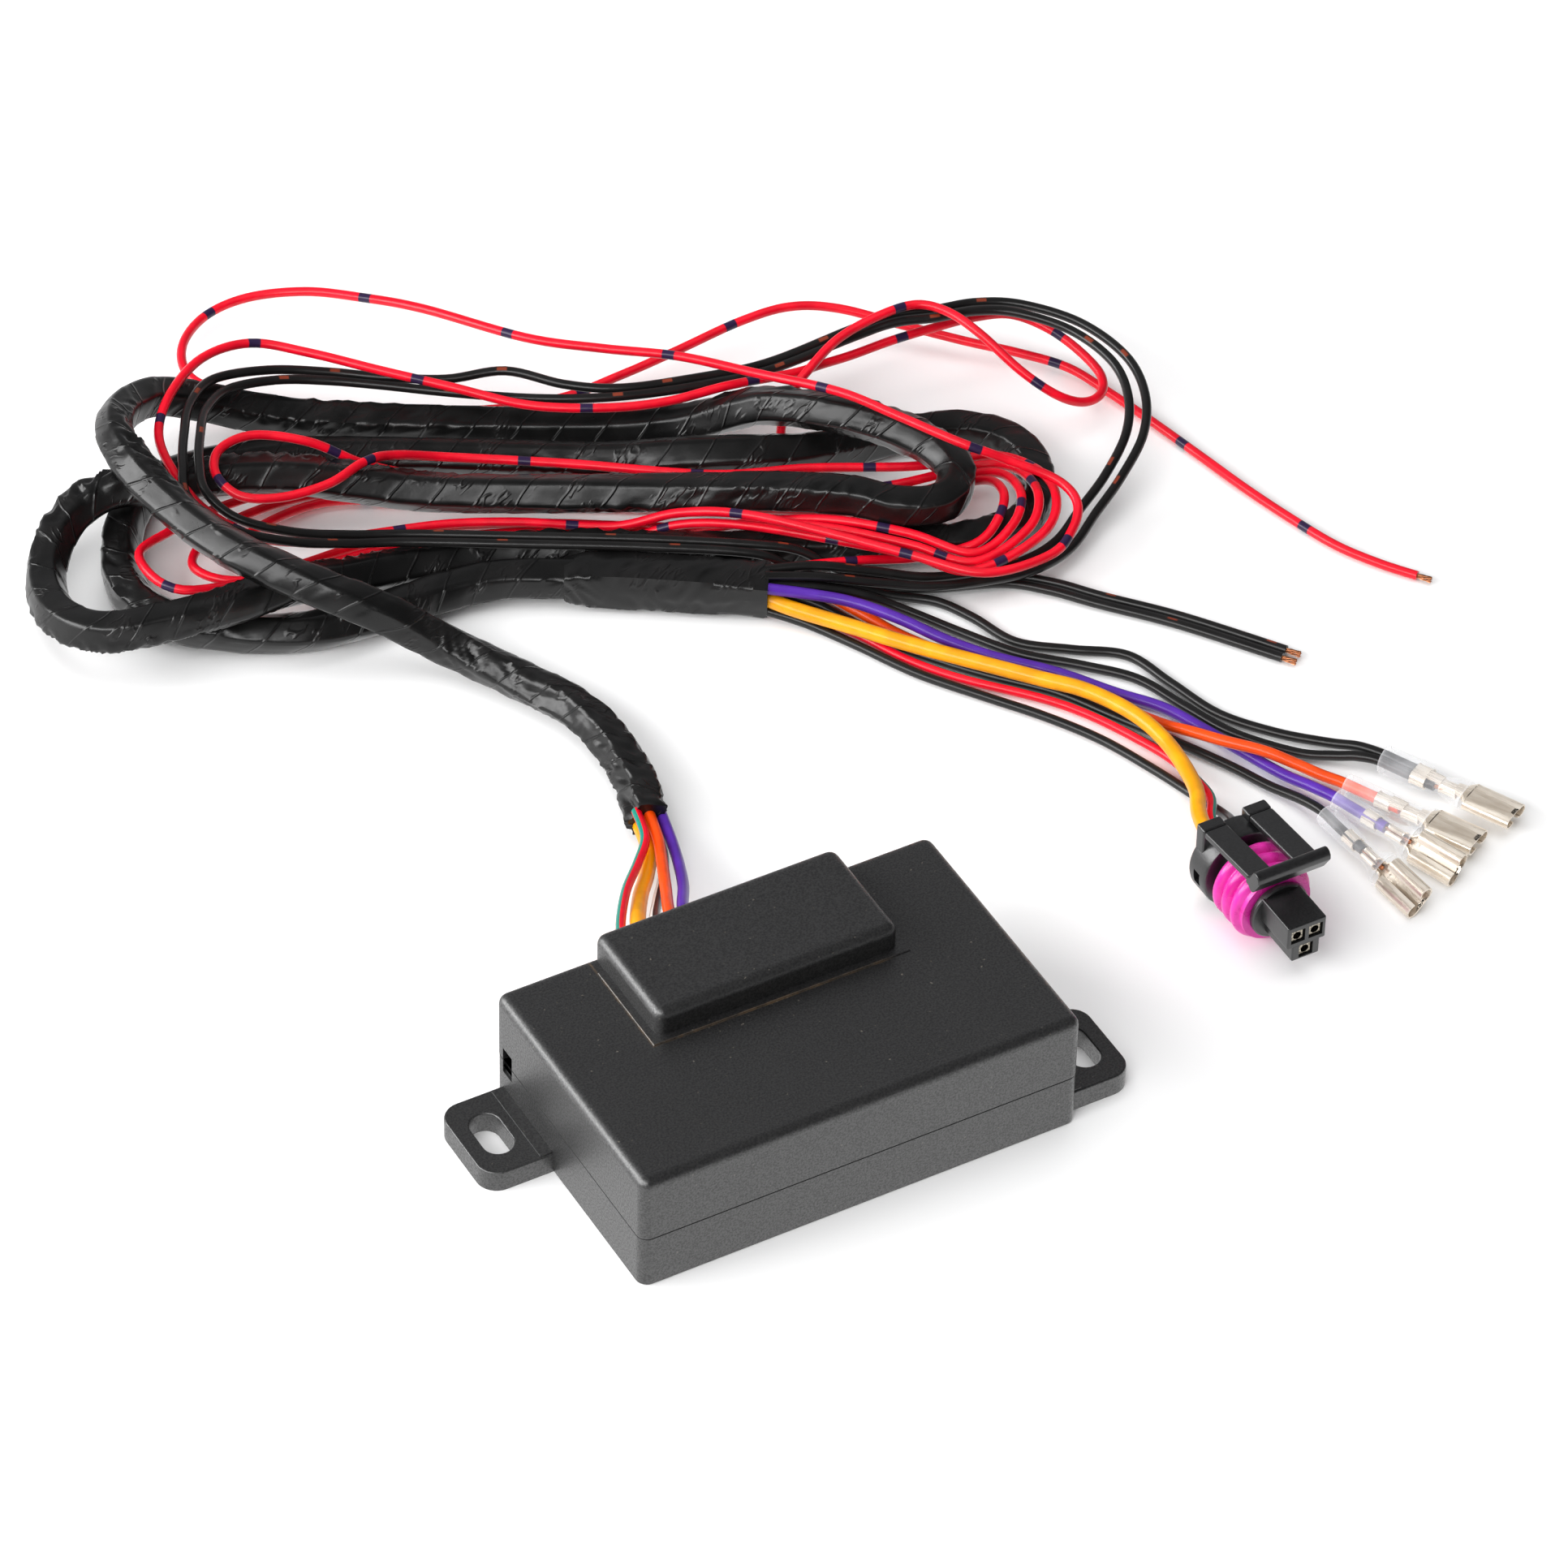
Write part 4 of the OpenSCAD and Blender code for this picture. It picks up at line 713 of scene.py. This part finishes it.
route_black_1 = [
    [-7, 153.7, 10.1], [4, 155.5, 10], [16, 157.3, 7.2], [28, 158.3, 5], [40, 161, 4.8],
    [49, 165.5, 4.3], [56, 173, 3.6], [61, 182, 4.8], [66.5, 190, 8], [71, 200, 11.5],
    [71.5, 210, 14], [68, 220, 15.5], [59, 229, 16.5], [47, 234, 17], [38, 234, 17.2],
    [29, 231, 17.4], [20, 229.4, 17], [11, 226.3, 15.2], [-8, 216.5, 13], [-25, 210.3, 13],
    [-42, 206.5, 13], [-58, 206, 12.5], [-76, 208.5, 11.5], [-92, 210.5, 11.5], [-104, 211, 12],
    [-115, 209, 13.5], [-125, 202.5, 16], [-129, 192, 19], [-129.5, 181, 21.5], [-129, 170, 22.5],
    [-127, 161, 22], [-120, 156, 19], [-108, 156, 15.5], [-96, 159, 12.5], [-84, 161.2, 11.2],
    [-60, 161.4, 11.2], [-32, 161.4, 11.2], [-10, 161.3, 10.5], [0, 161.5, 9], [8, 160.5, 5],
    [16, 160.5, 1.8], [28, 161.2, 1.3], [44, 163.6, 1.3], [55, 161.8, 1.3], [66, 157.5, 1.3],
    [83, 151.5, 1.3], [105, 141.5, 1.3]]
route_black_2 = [
    [-7, 151.2, 10.4], [4, 153, 9], [16, 154.5, 6.5], [28, 155.5, 4.8], [40, 157.8, 4.6],
    [51, 162.2, 4.3], [59, 170.5, 3.6], [64.5, 181, 4.8], [70, 189.5, 8], [74.8, 200, 11.5],
    [75.2, 211, 14], [71, 222, 15.5], [61, 231.8, 16.5], [48, 237, 17], [38, 237, 17.2],
    [29, 234, 17.4], [20, 232.3, 17], [11, 229.3, 15.2], [-8, 219.3, 13], [-25, 213.2, 13],
    [-40, 209.6, 13], [-52, 210.5, 13], [-65, 214, 13.5], [-78, 212.5, 12], [-92, 213.3, 11.5],
    [-104, 214, 12], [-117, 212, 13.8], [-128.5, 204.5, 17], [-132.6, 193, 19.5], [-133, 181, 21.5],
    [-132.5, 169.5, 22.5], [-130.5, 158.5, 22], [-121, 152.5, 19], [-108, 152.8, 15.5],
    [-96, 156.2, 12.5], [-84, 158.6, 11.2], [-60, 158.8, 11.2], [-32, 158.8, 11.2],
    [-10, 158.8, 10.2], [-2, 158.8, 6.8], [6, 158.2, 3.5], [16, 157.8, 1.4], [28, 158.5, 1.3],
    [44, 161, 1.3], [54, 159.2, 1.3], [65, 155, 1.3], [82, 149, 1.3], [104, 139, 1.3]]
red_banded_pvc = insulation("red_banded_pvc", red_colour, band=(37.78 * mm, 2.8 * mm, seen(38, 24, 58)))
black_marked_pvc = insulation("black_marked_pvc", black_colour, mark=(37 * mm, 2.2 * mm, seen(120, 48, 28)))
leads = {"red_lead": (red_banded_pvc, "insulation_red", route_red),
         "black_lead_1": (black_marked_pvc, "insulation_black", route_black_1),
         "black_lead_2": (black_marked_pvc, "insulation_black", route_black_2)}
copper, skin, tone = new_finish("bare_copper", {"Metallic": 1.0})
tarnish = grain(tone, 0.8 * mm, 2)
tone.feed(skin, {"Base Color": tarnish.mix(seen(168, 96, 62), seen(224, 156, 112)),
                 "Roughness": 0.24 + 0.2 * tarnish})
strand_radius, strand_twist, strand_ring = 0.18 * mm, 600, 0.36 * mm


def strands(bm, start, ahead, length, spread):
    """Seven copper strands from a point, one in the middle and six twisted round it."""
    side = ahead.cross((0, 0, 1)).normalized()
    over = side.cross(ahead)
    for number in range(7):
        path = []
        for k in range(9):
            s = length * k / 8
            turn = number * math.pi / 3 + s * strand_twist
            out = 0 if number == 6 else strand_ring + spread * s
            path.append(start + s * ahead + out * (math.cos(turn) * side + math.sin(turn) * over))
        tube(bm, path, strand_radius, 6)


lead_paths = {node: smooth(on_floor(lead[2]), steps_per_point) for node, lead in leads.items()}
bm = bmesh.new()
for path in lead_paths.values():
    ahead = (path[-1] - path[-2]).normalized()
    strands(bm, path[-1] - 1 * mm * ahead, ahead, 4.2 * mm, 0.05)
ends = stand("lead_end_strands", bm, copper, crease=60)
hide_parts("lead_strands")
for node, path in lead_paths.items():
    lead = sheath(node + "_wire", path, thin / 2, 12, leads[node][0])
    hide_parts(node)
    run_of(path)[-1]

# Push-on terminals: each stamped from tinned brass strip, wrapped round the insulation, folded
# into the strands and rolled into two curls that grip a 6.3 mm tab. The first holds two wires.
strip = 0.36 * mm
crimp_at, crimp_end, barrel_at, barrel_end = 7.5, 11, 14, 18
receptacle_at, receptacle_end = 21, 32
base_low, curl_middle, curl_side, curl_half = -1.75, 2.15, 1.75, 1.4
pair_side = 1.15
terminal_at = [(124.5, 105.3, 3.3), (116.4, 97.8, 2.6), (114.2, 92.2, 3.55), (111.6, 87.2, 3.55)]
terminal_turn = [-33, -33, -41, -55]
terminal_roll = [180, 180, 45, 45]
terminal_wires = [([-pair_side, pair_side], mid / 2), ([0], wide / 2), ([0], wide / 2), ([0], mid / 2)]


def terminal_place(number):
    """From a terminal's own frame, with x forward from the rear of its sleeve, to the table's."""
    spot = Vector(on_floor([terminal_at[number]])[0]) * mm
    turn = Matrix.Rotation(math.radians(terminal_turn[number]) - lay, 4, "Z")
    return Matrix.Translation(spot) @ turn @ Matrix.Rotation(math.radians(terminal_roll[number]), 4, "X")


def bent_strip(bm, stations):
    """Adds a length of strip through stations, each its distance along in millimetres and the outer
    line of half its section, from the middle of the base out and up."""
    rings = []
    for x, half in stations:
        line = [Vector((-y, z)) for y, z in reversed(half)] + [Vector(p) for p in half]
        line = [p for i, p in enumerate(line) if i == 0 or (p - line[i - 1]).length > 0.01]
        inner = []
        for i, p in enumerate(line):
            ahead = (line[min(i + 1, len(line) - 1)] - line[max(i - 1, 0)]).normalized()
            inner.append(p * mm + strip * Vector((-ahead.y, ahead.x)))
        ring = [p * mm for p in line] + inner[::-1]
        rings.append([Vector((x * mm, p.x, p.y)) for p in ring])
    loft(bm, rings, [x * mm for x, half in stations])


def crimped(shift, reach):
    """Half of a band folded round wires: a flat base as wide as the pair, then an arc to the top."""
    arc = [math.radians(-90 + 9 * k) for k in range(20)]
    return [(0.02, -reach)] + [(shift + reach * math.cos(a), reach * math.sin(a)) for a in arc]


def curl(trim):
    """Half of the receptacle: the flat base, then one rolled side up and over to the tab's slot."""
    arc = [math.radians(-90 + 10 * k) for k in range(28 - trim)]
    middle = base_low + curl_half
    sides = [(curl_middle + curl_side * math.cos(a), middle + curl_half * math.sin(a)) for a in arc]
    return [(0.02, base_low), (0.8, base_low), (1.1, base_low), (1.6, base_low), *sides]


def trough(width, wall):
    """Half of the open neck: a flat base and a low side wall."""
    return [(0.02, base_low), (width - 0.5, base_low), (width - 0.12, base_low + 0.1),
            (width, base_low + 0.5), (width, base_low + wall)]


tin, skin, tone = new_finish("terminal_tin", {})
along, around, unused = tone.node("UVMap", {"uv_map": "wrap"}, {}).axes()
drawn = tone.node("CombineXYZ", {}, {0: along * 60, 1: around * 22, 2: 0.5})
streaks = tone.node("TexNoise", {}, {"Vector": drawn, "Scale": 1.0, "Detail": 3.0}, "Fac")
dull = grain(tone, 1.6 * mm, 3)
tone.feed(skin, {
    "Base Color": (0.8 * streaks + 0.2 * dull).step(0.3, 0.7).mix(seen(222, 207, 188), seen(248, 239, 226)),
    "Roughness": 0.20 + 0.16 * streaks.step(0.3, 0.7),
    "Metallic": 0.65 - 0.25 * streaks.step(0.3, 0.7),
    "Normal": bumped(tone, 0.7 * streaks + 0.3 * dull, 0.012 * mm)})
folded_wings = [(0.02, -1.4), (0.55, -1.36), (1.0, -1.1), (1.32, -0.6), (1.4, 0), (1.36, 0.55), (1.18, 1.02),
                (0.86, 1.32), (0.5, 1.34), (0.24, 1.1), (0.13, 0.72)]
terminals, cores = [], []
for number, (sides, wire_radius) in enumerate(terminal_wires):
    bm = bmesh.new()
    band = crimped(max(sides), wire_radius / mm + 0.42)
    bell = crimped(max(sides), wire_radius / mm + 0.58)
    bent_strip(bm, [(crimp_at, bell), (crimp_at + 0.35, band), (crimp_end - 0.35, band), (crimp_end, bell)])
    bent_strip(bm, [(crimp_end - 0.3, trough(1.3, 1.1)), (barrel_at + 0.3, trough(1.2, 0.9))])
    bell = [(y * 1.12, z * 1.12) for y, z in folded_wings]
    bent_strip(bm, [(barrel_at, bell), (barrel_at + 0.4, folded_wings), (barrel_end - 0.4, folded_wings),
                    (barrel_end, bell)])
    bent_strip(bm, [(barrel_end - 0.3, trough(1.25, 1.3)), (barrel_end + 1.4, trough(1.5, 1.5)),
                    (receptacle_at + 0.2, trough(3.3, 1.2))])
    stations = [(receptacle_at, curl(4)), (receptacle_at + 0.5, curl(1)), (receptacle_at + 3, curl(0)),
                (receptacle_at + 6, curl(0)), (receptacle_end - 1, curl(0)), (receptacle_end, curl(0))]
    shared = len(curl(4))
    stations = [(x, half[:shared]) for x, half in stations]
    bent_strip(bm, stations)
    notch = [v for v in bm.verts if v.co.x > (receptacle_end - 0.01) * mm and abs(v.co.y) < 0.9 * mm
             and v.co.z < (base_low + 0.6) * mm]
    bmesh.ops.translate(bm, vec=(-0.9 * mm, 0, 0), verts=notch)
    place = terminal_place(number)
    copper_ends = bmesh.new()
    for side in sides:
        start = place @ Vector((12.6 * mm, side * mm, 0))
        finish_at = place @ Vector((19.3 * mm, 0.35 * side * mm, -0.35 * mm))
        strands(copper_ends, start, (finish_at - start).normalized(), (finish_at - start).length, 0)
    terminal = stand("push_on_%d" % (number + 1), bm, tin, crease=32, place=place)
    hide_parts("terminal_%d" % (number + 1))
    terminals.append(terminal)
    core = stand("crimped_strands_%d" % (number + 1), copper_ends, copper, crease=60)
    cores.append(core)

# Sleeves: short lengths of clear soft vinyl tube pushed up behind the terminals, round at the
# rear and spread to an oval where they ride on to the rolled curls.
sleeve_wall, sleeve_length, flare_at, flare = 0.35 * mm, 20 * mm, 16 * mm, (3.6 * mm, 1.8 * mm)
sleeve_bores = [2.8 * mm, 2.1 * mm, 2.1 * mm, 2.1 * mm]
waist_at, waist_reach, waist_bore = 14 * mm, 4.5 * mm, 1.75 * mm
# The vinyl carries a faint white emission, a painted glow that lightens its shaded sides.
milky_glow = {"IOR": 1.4, "Emission Color": (1, 1, 1, 1), "Emission Strength": 0.2}
clear_vinyl, skin, tone = new_finish("clear_vinyl", milky_glow)
along, around, unused = tone.node("UVMap", {"uv_map": "wrap"}, {}).axes()
haze = grain(tone, 5 * mm, 2)
rim = 1 - (along - 0.1 * mm).step(0.0, 0.5 * mm) * (1 - (along - sleeve_length).step(-0.6 * mm, -0.1 * mm))
outside = 1 - along.step(0.4, 0.6)
tone.feed(skin, {"Base Color": haze.mix(seen(236, 238, 242), seen(248, 249, 252)),
                 "Roughness": 0.20 + 0.12 * haze,
                 "Alpha": (0.16 + 0.10 * haze.step(0.3, 0.7) + 0.10 * rim) * outside})
sleeves = []
for number, bore in enumerate(sleeve_bores):
    rings, run = [], []
    for wall, stations in ((sleeve_wall, range(0, 21)), (0.0, range(20, -1, -1)), (sleeve_wall, range(1))):
        for station in stations:
            x = station / 20 * sleeve_length
            spread = max(0.0, (x - flare_at) / (sleeve_length - flare_at))
            spread = spread * spread * (3 - 2 * spread)
            waist = bore - (bore - waist_bore) * max(0.0, 1 - abs(x - waist_at) / waist_reach)
            wide_half, tall_half = [waist + (end - waist) * spread + wall for end in flare]
            rings.append([Vector((x, wide_half * math.cos(a), tall_half * math.sin(a)))
                          for a in [2 * math.pi * k / 36 for k in range(36)]])
            run.append(x if wall else 1 + x)
    bm = bmesh.new()
    loft(bm, rings, run)
    sleeve = stand("vinyl_sleeve_%d" % (number + 1), bm, clear_vinyl, crease=50, place=terminal_place(number))
    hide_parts("sleeve_%d" % (number + 1))
    sleeves.append(sleeve)

# Plug: a sealed three-way housing moulded in black plastic. A round flange at the rear, a core
# that carries the seal, a collar to keep it on, and a T-shaped nose with three square cavities.
plug_at = Vector((112.6, 14.5, 9.8)) * mm
flange_radius, flange_length = 9.6, 6.5
core_radius, collar_radius, collar_at, nose_at, nose_end = 6.2, 6.7, 19.4, 20, 31
nose_upper, nose_lower = (9.2, -0.6, 5.2), (6.6, -4.4, 0)
cavity, cavity_deep = 3.3, 6.5
cavity_at = [(-2.1, 2.3), (2.1, 2.3), (0, -2.2)]
pocket_low, pocket_high, pocket_deep = 2.2, 4.4, 1.4
pocket_side, pocket_turn = Vector((-1, -0.1)), math.radians(11)
arm_inner, arm_outer, arm_top, root_low, root_length = 2.6, 8.2, 11.2, 4, 3
plug_place = Matrix.Translation(plug_at) @ Matrix.Rotation(math.radians(90), 4, "X")


def turned(bm, profile, sides=72):
    """Adds a round form from its radius and distance along, in millimetres."""
    turns = [2 * math.pi * k / sides for k in range(sides)]
    rings = [[Vector((r * math.cos(a), r * math.sin(a), z)) * mm for a in turns] for r, z in profile]
    loft(bm, rings, [z * mm for r, z in profile])


plug_black = plain_finish("plug_black", seen(14, 14, 15), seen(26, 26, 27), 0.36, 0.5 * mm, index=1.8)
bm = bmesh.new()
for width, low, high in (nose_upper, nose_lower):
    nose = block(bm, Vector((-width / 2, low, nose_at)) * mm, Vector((width / 2, high, nose_end)) * mm)
    round_edges(bm, edges_of(nose), 0.4 * mm, 3)
for x, y in cavity_at:
    for side in (-cavity / 2, cavity / 2):
        cut(bm, ((x + side) * mm, 0, 0), (1, 0, 0))
        cut(bm, (0, (y + side) * mm, 0), (0, 1, 0))
for x, y in cavity_at:
    mouth = [f for f in bm.faces if f.normal.z > 0.9 and abs(f.calc_center_median().z - nose_end * mm) < 1e-5
             and abs(f.calc_center_median().x - x * mm) < cavity / 2 * mm
             and abs(f.calc_center_median().y - y * mm) < cavity / 2 * mm]
    sink(bm, mouth, (0, 0, -cavity_deep * mm))
turned(bm, [(flange_radius - 0.7, 0), (flange_radius - 0.2, 0.2), (flange_radius, 0.7),
            (flange_radius, pocket_low), (flange_radius, pocket_high), (flange_radius, flange_length - 0.7),
            (flange_radius - 0.2, flange_length - 0.2), (flange_radius - 0.7, flange_length),
            (core_radius, flange_length), (core_radius, collar_at), (collar_radius - 0.3, collar_at),
            (collar_radius, collar_at + 0.3), (collar_radius, collar_at + 1.2),
            (collar_radius - 0.3, collar_at + 1.5)])
pocket = []
for face in bm.faces:
    middle = face.calc_center_median() / mm
    on_flange = pocket_low < middle.z < pocket_high and middle.xy.length > 9
    if on_flange and abs(middle.xy.angle_signed(pocket_side)) < pocket_turn:
        pocket.append(face)
sink(bm, pocket, (pocket_deep * mm, 0, 0))
for side in (-1, 1):
    across = sorted((side * arm_inner, side * arm_outer))
    root = block(bm, Vector((across[0], root_low, 0)) * mm, Vector((across[1], arm_top, root_length)) * mm)
    round_edges(bm, edges_of(root), 0.5 * mm, 3)
housing = stand("plug_moulding", bm, plug_black, place=plug_place)
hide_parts("plug_housing")
wire_seal_brown = plain_finish("wire_seal_brown", seen(120, 60, 44), seen(146, 78, 58), 0.5, 0.8 * mm)
dress("plug_wire_seals", wire_seal_brown)
contact_tin = plain_finish("contact_tin", seen(96, 88, 76), seen(206, 198, 182), 0.24, 0.5 * mm, 1.0)
dress("plug_contacts", contact_tin)

# Plug seal: a soft silicone ring in bright pink, stretched over the core, with three round ribs
# that press against the socket it plugs into.
seal_radius, seal_groove, seal_at, rib_pitch, rib_width = 9.4, 8.2, 8.4, 3.4, 2.9
profile = [(core_radius, seal_at)]
for rib in range(3):
    for k in range(13):
        share = k / 12
        proud = (1 - abs(2 * share - 1) ** 2.6) * (seal_radius - seal_groove)
        profile.append((seal_groove + proud, seal_at + rib * rib_pitch + share * rib_width))
profile += [(seal_groove, seal_at + 3 * rib_pitch + 0.6), (core_radius, seal_at + 3 * rib_pitch + 0.6)]
bm = bmesh.new()
turned(bm, profile)
seal_pink = plain_finish("seal_pink", seen(212, 32, 148), seen(230, 56, 174), 0.28, 4 * mm)
seal = stand("ribbed_seal", bm, seal_pink, crease=50, place=plug_place)
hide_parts("plug_seal")

# Plug latch: two flat arms moulded with the housing, joined at the front by a hooked bar that
# clicks over a catch on the socket and lifts with a thumb under its lip.
latch_thick, arm_length, latch_rise, bar_overhang = 1.7, 17.5, 6, 0.5
bar_profile = [(-0.4, 0), (0.9, 0.4), (1.9, 1.9), (2.5, 2.9), (3.3, 3.1), (4.2, 2.7), (4.7, 1.8), (4.7, 0.8),
               (2.1, -2.7), (1.2, -2.6), (0.4, -latch_thick), (-0.4, -latch_thick)]
bm = bmesh.new()
for side in (-1, 1):
    across = sorted((side * arm_inner, side * arm_outer))
    arm = block(bm, Vector((across[0], -latch_thick, 0)) * mm, Vector((across[1], 0, arm_length)) * mm)
    round_edges(bm, edges_of(arm), 0.55 * mm, 4)
before = set(bm.verts)
bar_half = arm_outer + bar_overhang
loft(bm, [[Vector((x, up, arm_length + out)) * mm for out, up in bar_profile] for x in (-bar_half, bar_half)],
     [0.0, 2 * bar_half * mm])
bar = [v for v in bm.verts if v not in before]
round_edges(bm, [e for e in edges_of(bar) if e.calc_face_angle(0) > 0.3], 0.3 * mm, 3)
lifted = Matrix.Rotation(math.radians(-latch_rise), 4, "X")
hinge = Matrix.Translation(Vector((0, arm_top, root_length)) * mm) @ lifted
latch = stand("latch_moulding", bm, plug_black, body="latch", place=plug_place @ hinge)
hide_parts("plug_latch")

# Wires from the junction: five to the push-on terminals and three to the plug, in the colours of
# the wires that leave the case. Two black ones share the first terminal.


def in_terminal(number, side):
    """The end of a wire's route: along its terminal, to one side of the middle."""
    p = terminal_at[number]
    c, s = math.cos(math.radians(terminal_turn[number])), math.sin(math.radians(terminal_turn[number]))
    stops = (-1.5, 3, crimp_at, crimp_end, 13)
    return [(p[0] + x * c - side * s, p[1] + x * s + side * c, p[2]) for x in stops]


on_terminals = [[terminals[k], sleeves[k], cores[k]] for k in range(4)]
on_plug = [housing, seal, latch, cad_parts["plug_contacts"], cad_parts["plug_wire_seals"]]
branches = {
    "wire_twin_1": (mid, black_pvc, "insulation_black", on_terminals[0], [
        [-7, 153.7, 7.8], [4, 154.6, 6.6], [12, 155.6, 4.4], [20, 155.4, 2], [30, 154.5, 1.3],
        [38, 149.5, 1.3], [47, 142, 1.3], [59, 140, 1.3], [71, 138.5, 1.3], [80, 130, 1.3],
        [90, 120.5, 1.3], [102, 115, 1.3], [113, 111.5, 2], [119, 109.5, 3]] + in_terminal(0, pair_side)),
    "wire_twin_2": (mid, black_pvc, "insulation_black", on_terminals[0], [
        [-7, 151.4, 8.1], [4, 152, 6.8], [14, 152.5, 4.5], [24, 150.8, 1.6], [36, 144.3, 1.3],
        [48, 138.2, 1.3], [61, 135, 1.3], [73, 131, 1.3], [83, 122.5, 1.3], [93, 114.5, 1.3],
        [106, 108.8, 1.4], [114, 107.2, 2.2], [118.5, 106.4, 3]] + in_terminal(0, -pair_side)),
    "wire_orange": (wide, orange_pvc, "insulation_orange", on_terminals[1], [
        [-7, 155.2, 5.1], [3, 155.1, 3.6], [12, 149.9, 2.8], [22, 143.3, 1.6], [32, 137.6, 1.5],
        [42, 133.6, 1.5], [56, 129, 1.5], [68, 122.3, 1.5], [78, 116.6, 1.6], [84, 112.4, 3.4],
        [91, 108.3, 4.6], [99, 105.3, 4.8], [106, 102.8, 3.5], [111, 100.6, 2.7]] + in_terminal(1, 0)),
    "wire_purple": (wide, purple_pvc, "insulation_purple", on_terminals[2], [
        [-7, 149, 8.8], [3, 149.2, 7.2], [12, 148, 6.3], [22, 144.5, 5], [32, 140.5, 2.8],
        [42, 137, 1.5], [56, 132.2, 1.5], [68, 126.3, 1.5], [78, 122, 1.5], [86, 116, 1.5],
        [94, 109.2, 1.5], [103, 101.3, 2], [108.5, 96.8, 3]] + in_terminal(2, 0)),
    "wire_black": (mid, black_pvc, "insulation_black", on_terminals[3], [
        [-7, 152.7, 5.2], [3, 151.5, 3], [12, 147.1, 1.4], [22, 139.8, 1.3], [32, 134.8, 1.3],
        [42, 130.8, 1.3], [56, 126, 1.3], [68, 118.9, 1.3], [80, 111.8, 1.3], [92, 104.2, 1.3],
        [100, 98, 1.6], [106.5, 93, 2.6]] + in_terminal(3, 0)),
    "wire_yellow": (heavy, yellow_pvc, "insulation_yellow", on_plug, [
        [-7, 149.8, 5.4], [0, 147, 4.6], [12, 142, 4.6], [24, 136.7, 4.8], [38, 131.6, 4.8],
        [52, 126.6, 4.8], [62, 123, 4.8], [72, 115.7, 5], [79, 105.6, 5.6], [84, 91, 7.5],
        [84.5, 80, 10], [85.9, 73, 11.3], [88.2, 68.4, 11.4]]),
    "wire_red": (thin, red_green_pvc, "insulation_red", on_plug, [
        [-7, 151.5, 2.4], [3, 149.2, 1.4], [13, 143.3, 1.3], [24, 135.5, 1.3], [35, 130, 1.3],
        [52, 124.4, 1.3], [62, 119.6, 1.3], [72, 112.6, 1.3], [80, 104.8, 2], [87, 91.5, 5],
        [87.3, 81.5, 7.2], [88.2, 74, 7.2], [90.3, 69.6, 7.2]]),
    "wire_plug_black": (thin, black_pvc, "insulation_black", on_plug, [
        [-7, 149.1, 2.5], [2, 146.4, 1.4], [13, 139.8, 1.3], [26, 131.2, 1.3], [40, 124.5, 1.3],
        [53, 118.5, 1.3], [65, 111.5, 1.3], [76, 102.5, 1.3], [84, 95, 1.4], [90, 87, 3.5],
        [91.6, 79.5, 8], [90.6, 74.2, 11], [92.4, 70.8, 11.4]]),
}
for node, (diameter, finish, slot, ends, route) in branches.items():
    path = smooth(on_floor(route), steps_per_point)
    wire = sheath(node + "_run", path, diameter / 2, 14, finish)
    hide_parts(node)
    run_of(path)[-1]
